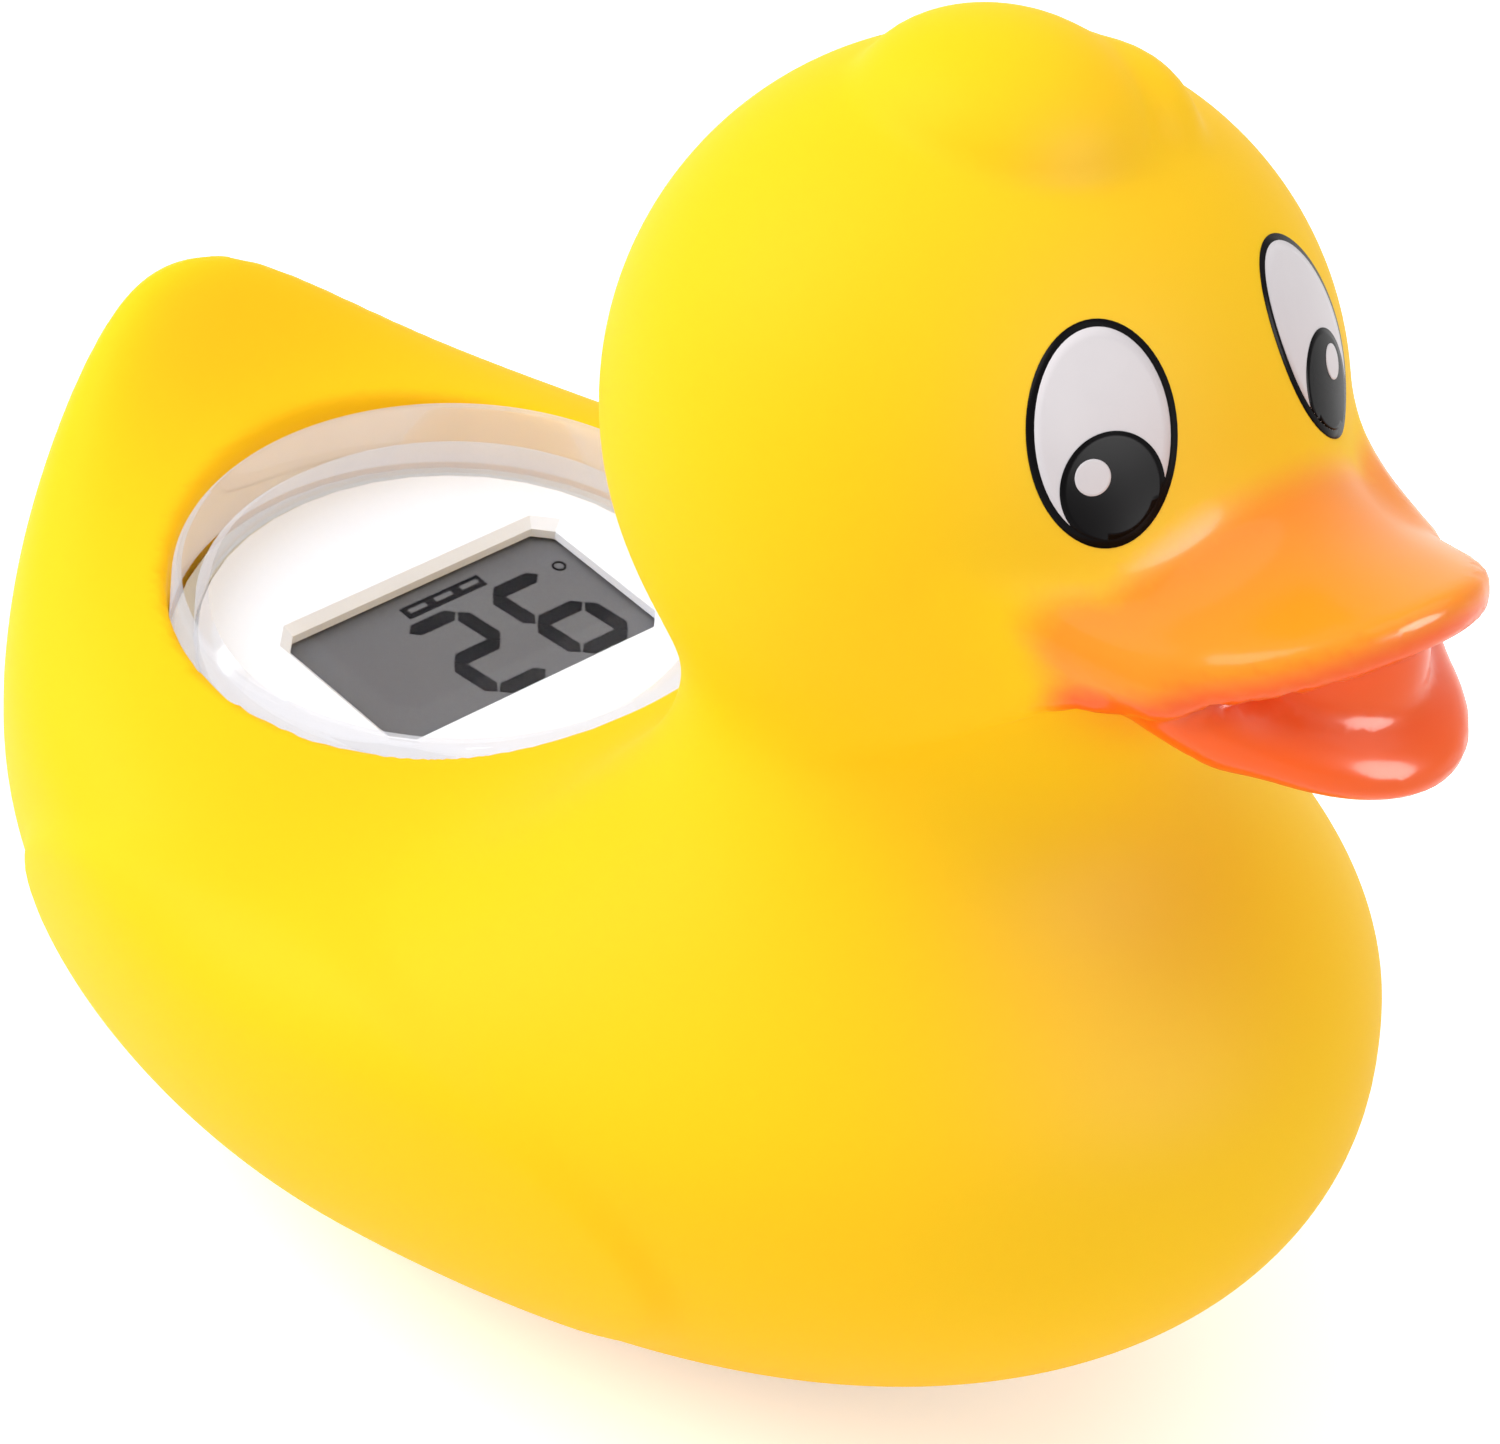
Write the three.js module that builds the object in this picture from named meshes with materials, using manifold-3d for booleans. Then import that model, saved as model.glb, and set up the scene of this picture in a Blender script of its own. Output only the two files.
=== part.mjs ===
// A floating bath thermometer: a hollow vinyl duck, a display in its back and a water sensor in its sole.
// Millimetres and degrees. +X runs from tail to bill, +Y is the duck's left, +Z is up from the flat sole.
import * as THREE from "three";
import { mergeVertices } from "three/addons/utils/BufferGeometryUtils.js";
import Module from "manifold-3d";

const wasm = await Module();
wasm.setup();

// Head and neck
const HEAD_X = 25.7;
const HEAD_Z = 76.7;
const HEAD_RADIUS = 23.3;
const NECK_X = 25.3;
const NECK_Z = 39.5;
const NECK_ROOT_RADIUS = 18;
const NECK_TOP_RADIUS = 16.5;
const NECK_HEAD_BLEND = 9;
const NECK_BODY_BLEND = 13;

// Hull, breast and tail
const HULL_X = -3.5;
const HULL_Z = 31.1;
const HULL_FRONT = 48.6;
const HULL_REAR = 37.2;
const HULL_HALF_WIDTH = 36.1;
const HULL_RISE = 13.7;
const HULL_DROP = 31.9;
const BREAST_X = 21.6;
const BREAST_Z = 32.4;
const BREAST_LENGTH = 32.6;
const BREAST_HALF_WIDTH = 26.6;
const BREAST_HEIGHT = 23;
const BREAST_BLEND = 20;
const TAIL_ROOT_X = -33.6;
const TAIL_ROOT_Z = 28.1;
const TAIL_ROOT_RADIUS = 26.6;
const TAIL_TIP_X = -44.3;
const TAIL_TIP_Z = 53;
const TAIL_TIP_RADIUS = 15.6;
const TAIL_BLEND = 41.8;
const SOLE_EDGE = 1;

// Hollow of the back: a flat for the lens, the tail's front face behind it and the shoulder before it
const LENS_X = -25.6;
const LENS_Z = 42.2;
const LENS_TILT = 10;
const TAIL_FACE_X = -49;
const TAIL_FACE_Z = 46;
const TAIL_FACE_LEAN = 32;
const TAIL_FACE_BLEND = 14;
const SHOULDER_X = -4;
const SHOULDER_Z = 39;
const SHOULDER_SLOPE = 40;
const SHOULDER_BLEND = 10;
const BACK_EDGE = 16;

// Bill: a spatula above, a spoon below and a roll of lip from each to the corner of the mouth
const BILL_X = 40.5;
const BILL_LENGTH = 24.2;
const BILL_HALF_WIDTH = 13.6;
const BILL_Z = 78;
const BILL_CROWN = 4.8;
const BILL_THICKNESS = 3.2;
const BILL_UPTURN_X = 52;
const BILL_UPTURN_LENGTH = 12;
const BILL_UPTURN = 1.6;
const BILL_EDGE = 2;
const BILL_ROOT_BLEND = 9;
const JAW_X = 46.9;
const JAW_Z = 70.9;
const JAW_LENGTH = 18;
const JAW_HALF_WIDTH = 10.5;
const JAW_HEIGHT = 4.4;
const JAW_DROOP = 12;
const JAW_ROOT_BLEND = 3;
const MOUTH_DEPTH = 2;
const MOUTH_EDGE = 2;
const MOUTH_CORNER = new THREE.Vector3(41.2, 15.8, 76.4);
const MOUTH_CORNER_RADIUS = 1;
const UPPER_LIP = new THREE.Vector3(47, 12.6, 73.2);
const UPPER_LIP_RADIUS = 1.7;
const LOWER_CORNER = new THREE.Vector3(41.8, 15.4, 74.4);
const LOWER_CORNER_RADIUS = 0.9;
const LOWER_LIP = new THREE.Vector3(47.5, 10, 70.4);
const LOWER_LIP_RADIUS = 2.4;
const LIP_BLEND = 2.5;

// Tuft on the crown: a big lobe and a small one on its left
const TUFT = new THREE.Vector3(27.6, -0.4, 96.6);
const TUFT_RADII = new THREE.Vector3(10, 8.4, 6.6);
const TUFT_SIDE = new THREE.Vector3(30.4, 5.8, 95.4);
const TUFT_SIDE_RADII = new THREE.Vector3(6.8, 4.6, 5.2);
const TUFT_FOLD = 2;
const TUFT_BLEND = 2.5;

// Wings in low relief on both flanks
const WING_X = -4;
const WING_Z = 23;
const WING_FRONT = 32;
const WING_REAR = 34;
const WING_RISE = 15;
const WING_DROP = 16;
const WING_RELIEF = 0.7;
const WING_EDGE = 2.5;
const WING_INNER_Y = 12;
const WING_FULL_Y = 22;
const WING_FADE_LOW = 6;
const WING_FADE_HIGH = 18;

// Skin wall and the steps of its facets
const SKIN_WALL = 2.2;
const BODY_STEP = 5;
const FACE_STEP = 2.6;
const HOLLOW_STEP = 7;
const FACE_START_X = 39;
const FACE_START_Z = 63;
const FACE_HALF_WIDTH = 18;
const SETTLE_ROUNDS = 3;
const SETTLE_SHARE = 0.5;
const SLOPE_NUDGE = 0.05;
const LEAST_SLOPE = 0.5;

// Lens and the opening that it fills
const LENS_HALF_LENGTH = 19.6;
const LENS_HALF_WIDTH = 21.3;
const LENS_PROUD = 0.4;
const LENS_TOP = 2;
const LENS_WALL = 1.8;
const LENS_DEPTH = 5.6;
const LENS_ROUND = 0.9;
const FIT = 0.3;
const OVERCUT = 1;
const SEAL_THICKNESS = 0.8;
const FLANGE_THICKNESS = 1.3;
const LIP_THICKNESS = 2.5;
const LIP_REACH = 2;
const COLLAR_WALL = 3;
const OVAL_SIDES = 40;

// Display and board under the lens
const PLATE_THICKNESS = 1.4;
const WINDOW_X = 0.7;
const WINDOW_Y = 1.5;
const WINDOW_LENGTH = 14;
const WINDOW_WIDTH = 25.4;
const WINDOW_CORNER = 1.3;
const WINDOW_BEVEL = 0.7;
const GLASS_BORDER = 0.7;
const GLASS_THICKNESS = 1.8;
const ZEBRA_HEIGHT = 2.6;
const ZEBRA_WIDTH = 1.6;
const BOARD_THICKNESS = 1.2;
const BOARD_MARGIN = 1;
const POST_RADIUS = 1.6;
const POST_REAR_X = -9;
const POST_REAR_Y = 8;
const POST_FRONT_X = 11.4;
const POST_FRONT_Y = 3.6;
const CHIP_X = 6;
const CHIP_RADIUS = 3.2;
const CHIP_HEIGHT = 1.2;
const CHIP_DOME_RADIUS = 1.9;
const CHIP_DOME_HEIGHT = 1;
const CRYSTAL_X = -5.5;
const CRYSTAL_RADIUS = 1;
const CRYSTAL_LENGTH = 6;

// Tray, rear housing and battery bay
const TRAY_WALL = 1.2;
const BEAD_REACH = 1.2;
const BEAD_HEIGHT = 1.6;
const TRAY_HEIGHT = 8;
const HOUSING_HEIGHT = 12;
const HOUSING_FLOOR = 2.6;
const HOUSING_TAPER = 1.5;
const SPIGOT_WALL = 1.2;
const SPIGOT_HEIGHT = 2;
const CELL_RADIUS = 5.8;
const CELL_HEIGHT = 5.4;
const CELL_EDGE = 0.5;
const CELL_Y = 6.2;
const CELL_PLAY = 0.4;
const WELL_WALL = 1.2;
const CONTACT_THICKNESS = 0.3;
const CONTACT_WIDTH = 4;
const DOOR_THICKNESS = 1.4;
const DOOR_LEDGE = 1.2;
const DOOR_SCREW_X = 9;
const DOOR_TAB_RADIUS = 2.4;
const DOOR_BOSS_HEIGHT = 4.5;

// Small screws
const SCREW_RADIUS = 0.8;
const SCREW_HEAD_RADIUS = 1.5;
const SCREW_HEAD_HEIGHT = 0.9;
const SCREW_LENGTH = 4;
const SCREW_CROWN = 1;
const SCREW_SIDES = 8;

// Water sensor in the sole
const SENSOR_X = -18;
const SOLE_BOSS_RADIUS = 11;
const SOLE_BOSS_HEIGHT = 5.5;
const PLUG_HEAD_RADIUS = 7;
const PLUG_HEAD_HEIGHT = 1.6;
const PLUG_RECESS = 0.5;
const PLUG_SHANK_RADIUS = 4;
const PLUG_BARB = 0.8;
const PLUG_BARB_HEIGHT = 2.2;
const CAP_RADIUS = 2.2;
const CAP_WALL = 0.4;
const CAP_LENGTH = 5;
const THERMISTOR_RADIUS = 1;
const LEAD_RADIUS = 0.6;
const LEAD_SPACING = 1.9;
const LEAD_X = -10.2;
const LEAD_SLACK = 5;
const LEAD_STEPS = 20;
const ROUND_SIDES = 20;

const rad = THREE.MathUtils.degToRad;

// Smooth minimum and maximum: two surfaces meet in a fillet about k wide.
function blendMin(a, b, k) {
  const h = Math.max(k - Math.abs(a - b), 0) / k;
  return Math.min(a, b) - (h * h * h * k) / 6;
}

function blendMax(a, b, k) {
  return -blendMin(-a, -b, k);
}

function ramp(t) {
  const s = Math.min(Math.max(t, 0), 1);
  return s * s * (3 - 2 * s);
}

// Distance to an ellipsoid, near enough to true close to its surface
function ellipsoid(x, y, z, rx, ry, rz) {
  const k0 = Math.hypot(x / rx, y / ry, z / rz);
  const k1 = Math.hypot(x / rx ** 2, y / ry ** 2, z / rz ** 2);
  return k1 > 0 ? (k0 * (k0 - 1)) / k1 : -Math.min(rx, ry, rz);
}

// Distance to the hull of two balls of unlike radius
function roundCone(p, a, b, ra, rb) {
  const axis = new THREE.Vector3().subVectors(b, a);
  const l2 = axis.lengthSq();
  const dr = ra - rb;
  const a2 = l2 - dr * dr;
  const pa = new THREE.Vector3().subVectors(p, a);
  const along = pa.dot(axis);
  const beyond = along - l2;
  const x2 = pa.multiplyScalar(l2).addScaledVector(axis, -along).lengthSq();
  const y2 = along * along * l2;
  const z2 = beyond * beyond * l2;
  const k = Math.sign(dr) * dr * dr * x2;
  if (Math.sign(beyond) * a2 * z2 > k) return Math.sqrt(x2 + z2) / l2 - rb;
  if (Math.sign(along) * a2 * y2 < k) return Math.sqrt(x2 + y2) / l2 - ra;
  return (Math.sqrt((x2 * a2) / l2) + along * dr) / l2 - ra;
}

const HEAD = new THREE.Vector3(HEAD_X, 0, HEAD_Z);
const NECK = new THREE.Vector3(NECK_X, 0, NECK_Z);
const TAIL_ROOT = new THREE.Vector3(TAIL_ROOT_X, 0, TAIL_ROOT_Z);
const TAIL_TIP = new THREE.Vector3(TAIL_TIP_X, 0, TAIL_TIP_Z);

// Head, neck, hull and tail without the face: the form that the skin's hollow follows
function trunk(p) {
  const hullX = p.x - HULL_X;
  const hullZ = p.z - HULL_Z;
  const hullLength = hullX > 0 ? HULL_FRONT : HULL_REAR;
  const hullHeight = hullZ > 0 ? HULL_RISE : HULL_DROP;
  const hull = ellipsoid(hullX, p.y, hullZ, hullLength, HULL_HALF_WIDTH, hullHeight);
  const breastX = p.x - BREAST_X;
  const breastZ = p.z - BREAST_Z;
  const breast = ellipsoid(breastX, p.y, breastZ, BREAST_LENGTH, BREAST_HALF_WIDTH, BREAST_HEIGHT);
  const tail = roundCone(p, TAIL_ROOT, TAIL_TIP, TAIL_ROOT_RADIUS, TAIL_TIP_RADIUS);
  const body = blendMin(blendMin(hull, breast, BREAST_BLEND), tail, TAIL_BLEND);
  const tilt = rad(LENS_TILT);
  const lean = rad(TAIL_FACE_LEAN);
  const slope = rad(SHOULDER_SLOPE);
  const flat = (p.x - LENS_X) * Math.sin(tilt) + (p.z - LENS_Z) * Math.cos(tilt);
  const face = (p.x - TAIL_FACE_X) * Math.cos(lean) + (p.z - TAIL_FACE_Z) * Math.sin(lean);
  const shoulder = (p.z - SHOULDER_Z) * Math.cos(slope) - (p.x - SHOULDER_X) * Math.sin(slope);
  const back = blendMin(blendMin(flat, face, TAIL_FACE_BLEND), shoulder, SHOULDER_BLEND);
  const saddle = blendMax(body, back, BACK_EDGE);
  const neck = roundCone(p, NECK, HEAD, NECK_ROOT_RADIUS, NECK_TOP_RADIUS);
  const head = blendMin(p.distanceTo(HEAD) - HEAD_RADIUS, neck, NECK_HEAD_BLEND);
  return blendMin(saddle, head, NECK_BODY_BLEND);
}

function upperBill(p) {
  const outline = ellipsoid(p.x - BILL_X, p.y, 0, BILL_LENGTH, BILL_HALF_WIDTH, 1);
  const tip = Math.max(p.x - BILL_UPTURN_X, 0) / BILL_UPTURN_LENGTH;
  const top = BILL_Z - BILL_CROWN * (p.y / BILL_HALF_WIDTH) ** 2 + BILL_UPTURN * tip ** 2;
  const slab = Math.abs(p.z - top + BILL_THICKNESS / 2) - BILL_THICKNESS / 2;
  return blendMax(outline, slab, BILL_EDGE);
}

// The spoon, and the closed mouth between it and the spatula, set back by the depth of the mouth's line
function lowerBill(p) {
  const droop = rad(JAW_DROOP);
  const x = p.x - JAW_X;
  const z = p.z - JAW_Z;
  const along = x * Math.cos(droop) - z * Math.sin(droop);
  const up = z * Math.cos(droop) + x * Math.sin(droop);
  const spoon = ellipsoid(along, p.y, up, JAW_LENGTH, JAW_HALF_WIDTH, JAW_HEIGHT);
  const outline = ellipsoid(x, p.y, 0, JAW_LENGTH - MOUTH_DEPTH, JAW_HALF_WIDTH - MOUTH_DEPTH, 1);
  const gap = (BILL_Z - JAW_Z) / 2;
  const filling = blendMax(outline, Math.abs(z - gap) - gap, MOUTH_EDGE);
  return blendMin(spoon, filling, MOUTH_EDGE);
}

function lips(p) {
  const side = new THREE.Vector3(p.x, Math.abs(p.y), p.z);
  const upper = roundCone(side, MOUTH_CORNER, UPPER_LIP, MOUTH_CORNER_RADIUS, UPPER_LIP_RADIUS);
  const lower = roundCone(side, LOWER_CORNER, LOWER_LIP, LOWER_CORNER_RADIUS, LOWER_LIP_RADIUS);
  return Math.min(upper, lower);
}

function tuft(p) {
  const big = new THREE.Vector3().subVectors(p, TUFT);
  const small = new THREE.Vector3().subVectors(p, TUFT_SIDE);
  const lobe = ellipsoid(big.x, big.y, big.z, ...TUFT_RADII);
  const side = ellipsoid(small.x, small.y, small.z, ...TUFT_SIDE_RADII);
  return blendMin(lobe, side, TUFT_FOLD);
}

// How far the wings stand out of the flank at a point
function wingRelief(p) {
  const x = p.x - WING_X;
  const z = p.z - WING_Z;
  const outside = ellipsoid(x, 0, z, x > 0 ? WING_FRONT : WING_REAR, 1, z > 0 ? WING_RISE : WING_DROP);
  const side = ramp((Math.abs(p.y) - WING_INNER_Y) / (WING_FULL_Y - WING_INNER_Y));
  const low = ramp((p.z - WING_FADE_LOW) / (WING_FADE_HIGH - WING_FADE_LOW));
  return WING_RELIEF * ramp(0.5 - outside / WING_EDGE) * side * low;
}

// Outside of the skin
function skinField(p) {
  let d = blendMin(trunk(p), lowerBill(p), JAW_ROOT_BLEND);
  d = blendMin(d, upperBill(p), BILL_ROOT_BLEND);
  d = blendMin(d, lips(p), LIP_BLEND);
  d = blendMin(d, tuft(p), TUFT_BLEND);
  return blendMax(d - wingRelief(p), -p.z, SOLE_EDGE);
}

// Inside of the skin
function hollowField(p) {
  return blendMax(trunk(p) + SKIN_WALL, SKIN_WALL - p.z, SOLE_EDGE);
}

// Grid lines from lo to hi, closer together between fineLo and fineHi
function gridLines(lo, hi, step, fineLo, fineHi, fineStep) {
  const lines = [];
  for (const [from, to, s] of [[lo, fineLo, step], [fineLo, fineHi, fineStep], [fineHi, hi, step]]) {
    const count = Math.max(Math.round((to - from) / s), 0);
    for (let i = 0; i < count; i++) lines.push(from + ((to - from) * i) / count);
  }
  lines.push(hi);
  return lines;
}

// Closed surface of field = 0: a vertex in each grid cell and a quad across each grid edge that it crosses
function surfaceNet(field, xs, ys, zs) {
  const [nx, ny, nz] = [xs.length, ys.length, zs.length];
  const at = (i, j, k) => (i * ny + j) * nz + k;
  const value = new Float64Array(nx * ny * nz);
  const p = new THREE.Vector3();
  for (let i = 0; i < nx; i++)
    for (let j = 0; j < ny; j++)
      for (let k = 0; k < nz; k++) value[at(i, j, k)] = field(p.set(xs[i], ys[j], zs[k]));
  const corners = [0, 1, 2, 3, 4, 5, 6, 7].map((c) => [c & 1, (c >> 1) & 1, c >> 2]);
  const vertexOf = new Map();
  const vertices = [];
  for (let i = 0; i + 1 < nx; i++)
    for (let j = 0; j + 1 < ny; j++)
      for (let k = 0; k + 1 < nz; k++) {
        const sum = new THREE.Vector3();
        let crossings = 0;
        corners.forEach(([a, b, c], n) => {
          for (const bit of [1, 2, 4]) {
            if (n & bit) continue;
            const [d, e, f] = corners[n | bit];
            const v0 = value[at(i + a, j + b, k + c)];
            const v1 = value[at(i + d, j + e, k + f)];
            if (v0 < 0 === v1 < 0) continue;
            const from = new THREE.Vector3(xs[i + a], ys[j + b], zs[k + c]);
            sum.add(from.lerp(p.set(xs[i + d], ys[j + e], zs[k + f]), v0 / (v0 - v1)));
            crossings++;
          }
        });
        if (!crossings) continue;
        vertexOf.set(at(i, j, k), vertices.length);
        vertices.push(sum.divideScalar(crossings));
      }
  const quads = [];
  const step = [[1, 0, 0], [0, 1, 0], [0, 0, 1]];
  for (let i = 0; i + 1 < nx; i++)
    for (let j = 0; j + 1 < ny; j++)
      for (let k = 0; k + 1 < nz; k++)
        step.forEach((s, axis) => {
          const u = step[(axis + 1) % 3];
          const w = step[(axis + 2) % 3];
          const inside = value[at(i, j, k)] < 0;
          if (inside === value[at(i + s[0], j + s[1], k + s[2])] < 0) return;
          const back = (c, m, n) => c[0] - m * u[c[1]] - n * w[c[1]];
          const cell = (m, n) => at(back([i, 0], m, n), back([j, 1], m, n), back([k, 2], m, n));
          const quad = [cell(0, 0), cell(1, 0), cell(1, 1), cell(0, 1)].map((c) => vertexOf.get(c));
          quads.push(inside ? quad : quad.reverse());
        });
  settle(vertices, quads, field);
  const index = quads.flatMap(([a, b, c, d]) =>
    vertices[a].distanceTo(vertices[c]) < vertices[b].distanceTo(vertices[d])
      ? [a, b, c, a, c, d]
      : [a, b, d, b, c, d],
  );
  const geometry = new THREE.BufferGeometry().setFromPoints(vertices);
  return geometry.setIndex(index);
}

// Evens out the vertices of a net and puts each back on the surface
function settle(vertices, quads, field) {
  const p = new THREE.Vector3();
  const slope = (v, axis) => {
    const ahead = field(p.copy(v).setComponent(axis, v.getComponent(axis) + SLOPE_NUDGE));
    const behind = field(p.copy(v).setComponent(axis, v.getComponent(axis) - SLOPE_NUDGE));
    return (ahead - behind) / (2 * SLOPE_NUDGE);
  };
  for (let round = 0; round < SETTLE_ROUNDS; round++) {
    const sums = vertices.map(() => new THREE.Vector3());
    const counts = new Array(vertices.length).fill(0);
    for (const quad of quads)
      quad.forEach((v, n) => {
        sums[v].add(vertices[quad[(n + 1) % 4]]).add(vertices[quad[(n + 3) % 4]]);
        counts[v] += 2;
      });
    vertices.forEach((v, n) => v.lerp(sums[n].divideScalar(counts[n]), SETTLE_SHARE));
    for (const v of vertices) {
      const g = new THREE.Vector3(slope(v, 0), slope(v, 1), slope(v, 2));
      v.addScaledVector(g, -field(v) / Math.max(g.lengthSq(), LEAST_SLOPE ** 2));
    }
  }
}

// Solids for cutting and joining
function solid(geometry) {
  const bare = geometry.clone();
  bare.deleteAttribute("normal");
  bare.deleteAttribute("uv");
  const merged = mergeVertices(bare, 1e-4);
  const vertProperties = merged.attributes.position.array;
  const triVerts = new Uint32Array(merged.index.array);
  return new wasm.Manifold(new wasm.Mesh({ numProp: 3, vertProperties, triVerts }));
}

function geometryOf(manifold) {
  const { vertProperties, triVerts } = manifold.getMesh();
  const geometry = new THREE.BufferGeometry();
  geometry.setAttribute("position", new THREE.BufferAttribute(vertProperties, 3));
  geometry.setIndex(new THREE.BufferAttribute(triVerts, 1));
  geometry.computeVertexNormals();
  return geometry;
}

// A profile of [offset from the lens's edge, height] turned about its oval, both ends closed on the axis
function ovalTurn(profile, sides = OVAL_SIDES) {
  const points = [];
  for (const [offset, z] of profile)
    for (let s = 0; s < sides; s++) {
      const turn = (2 * Math.PI * s) / sides;
      const x = (LENS_HALF_LENGTH + offset) * Math.cos(turn);
      points.push(new THREE.Vector3(x, (LENS_HALF_WIDTH + offset) * Math.sin(turn), z));
    }
  const index = [];
  const last = profile.length - 1;
  for (let r = 0; r < last; r++)
    for (let s = 0; s < sides; s++) {
      const t = (s + 1) % sides;
      const [a, b] = [r * sides + s, r * sides + t];
      index.push(a, b, b + sides, a, b + sides, a + sides);
    }
  const first = points.push(new THREE.Vector3(0, 0, profile[0][1])) - 1;
  const end = points.push(new THREE.Vector3(0, 0, profile[last][1])) - 1;
  for (let s = 0; s < sides; s++) {
    const t = (s + 1) % sides;
    index.push(first, t, s, end, last * sides + s, last * sides + t);
  }
  return new THREE.BufferGeometry().setFromPoints(points).setIndex(index);
}

// A plain oval slab between two heights
function ovalSlab(offset, low, high) {
  return solid(ovalTurn([[offset, low], [offset, high]]));
}

// An upright round bar between two heights
function bar(x, y, radius, low, high, sides = ROUND_SIDES) {
  const geometry = new THREE.CylinderGeometry(radius, radius, high - low, sides);
  return solid(geometry.rotateX(Math.PI / 2).translate(x, y, (low + high) / 2));
}

// A box centred on x and y between two heights
function block(x, y, length, width, low, high) {
  const geometry = new THREE.BoxGeometry(length, width, high - low);
  return solid(geometry.translate(x, y, (low + high) / 2));
}

// An upright prism with cut corners
function cutCornerPrism(x, y, length, width, corner, low, high) {
  const [a, b] = [length / 2, width / 2];
  const outline = new THREE.Shape();
  outline.moveTo(a, corner - b);
  outline.lineTo(a, b - corner);
  outline.lineTo(a - corner, b);
  outline.lineTo(corner - a, b);
  outline.lineTo(-a, b - corner);
  outline.lineTo(-a, corner - b);
  outline.lineTo(corner - a, -b);
  outline.lineTo(a - corner, -b);
  const geometry = new THREE.ExtrudeGeometry(outline, { depth: high - low, bevelEnabled: false });
  return solid(geometry.translate(x, y, low));
}

// A turned piece: a profile of [radius, height] from axis to axis
function turned(profile, sides = ROUND_SIDES) {
  const outline = profile.map(([r, z]) => new THREE.Vector2(r, z));
  return new THREE.LatheGeometry(outline, sides).rotateX(Math.PI / 2);
}

// A pan-head screw driven upwards, with its head's seat at height z
function screw(x, y, z) {
  const shank = z + SCREW_LENGTH;
  const tip = SCREW_RADIUS / 2;
  const head = z - SCREW_HEAD_HEIGHT;
    const profile = [
    [0, head],
    [SCREW_CROWN, head],
    [SCREW_HEAD_RADIUS, head + SCREW_HEAD_HEIGHT / 2],
    [SCREW_HEAD_RADIUS, z],
    [SCREW_RADIUS, z],
    [SCREW_RADIUS, shank - tip],
    [tip, shank],
    [0, shank],
  ];
  return turned(profile, SCREW_SIDES).translate(x, y, 0);
}

function material(color, roughness, metalness = 0, opacity = 1) {
  return new THREE.MeshStandardMaterial({ color, roughness, metalness, opacity, transparent: opacity < 1 });
}

const vinyl = material(0xffd324, 0.38);
const clear = material(0xf4f6ff, 0.05, 0, 0.3);
const gasket = material(0xd9d9d4, 0.7);
const whitePlastic = material(0xf8fafb, 0.45);
const displayGlass = material(0x707276, 0.3);
const zebraRubber = material(0x3c3c40, 0.8);
const boardGreen = material(0x1d6b3c, 0.5);
const epoxy = material(0x151515, 0.4);
const nickel = material(0xc9ccd0, 0.3, 0.9);
const steel = material(0xb9bdc2, 0.3, 0.95);
const beadBlack = material(0x202022, 0.5);
const redWire = material(0xc02a20, 0.5);
const blackWire = material(0x1b1b1d, 0.5);

const duck = new THREE.Group();
const displayModule = new THREE.Group();
displayModule.position.set(LENS_X, 0, LENS_Z);
displayModule.rotation.y = rad(LENS_TILT);
displayModule.updateMatrix();
duck.add(displayModule);

function place(parent, name, shape, surface) {
  const geometry = shape.isBufferGeometry ? shape : geometryOf(shape);
  const mesh = new THREE.Mesh(geometry, surface);
  mesh.name = name;
  parent.add(mesh);
  return mesh;
}

// Heights in the module, from the lens's edge downwards, and offsets from that edge inwards
const lensBottom = -LENS_DEPTH;
const flangeTop = lensBottom - SEAL_THICKNESS - 2 * FIT;
const flangeBottom = flangeTop - FLANGE_THICKNESS;
const lipTop = flangeBottom - FIT;
const lipBottom = lipTop - LIP_THICKNESS;
const trayOut = -LIP_REACH - FIT;
const trayIn = trayOut - TRAY_WALL;
const trayBottom = flangeBottom - TRAY_HEIGHT;

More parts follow.
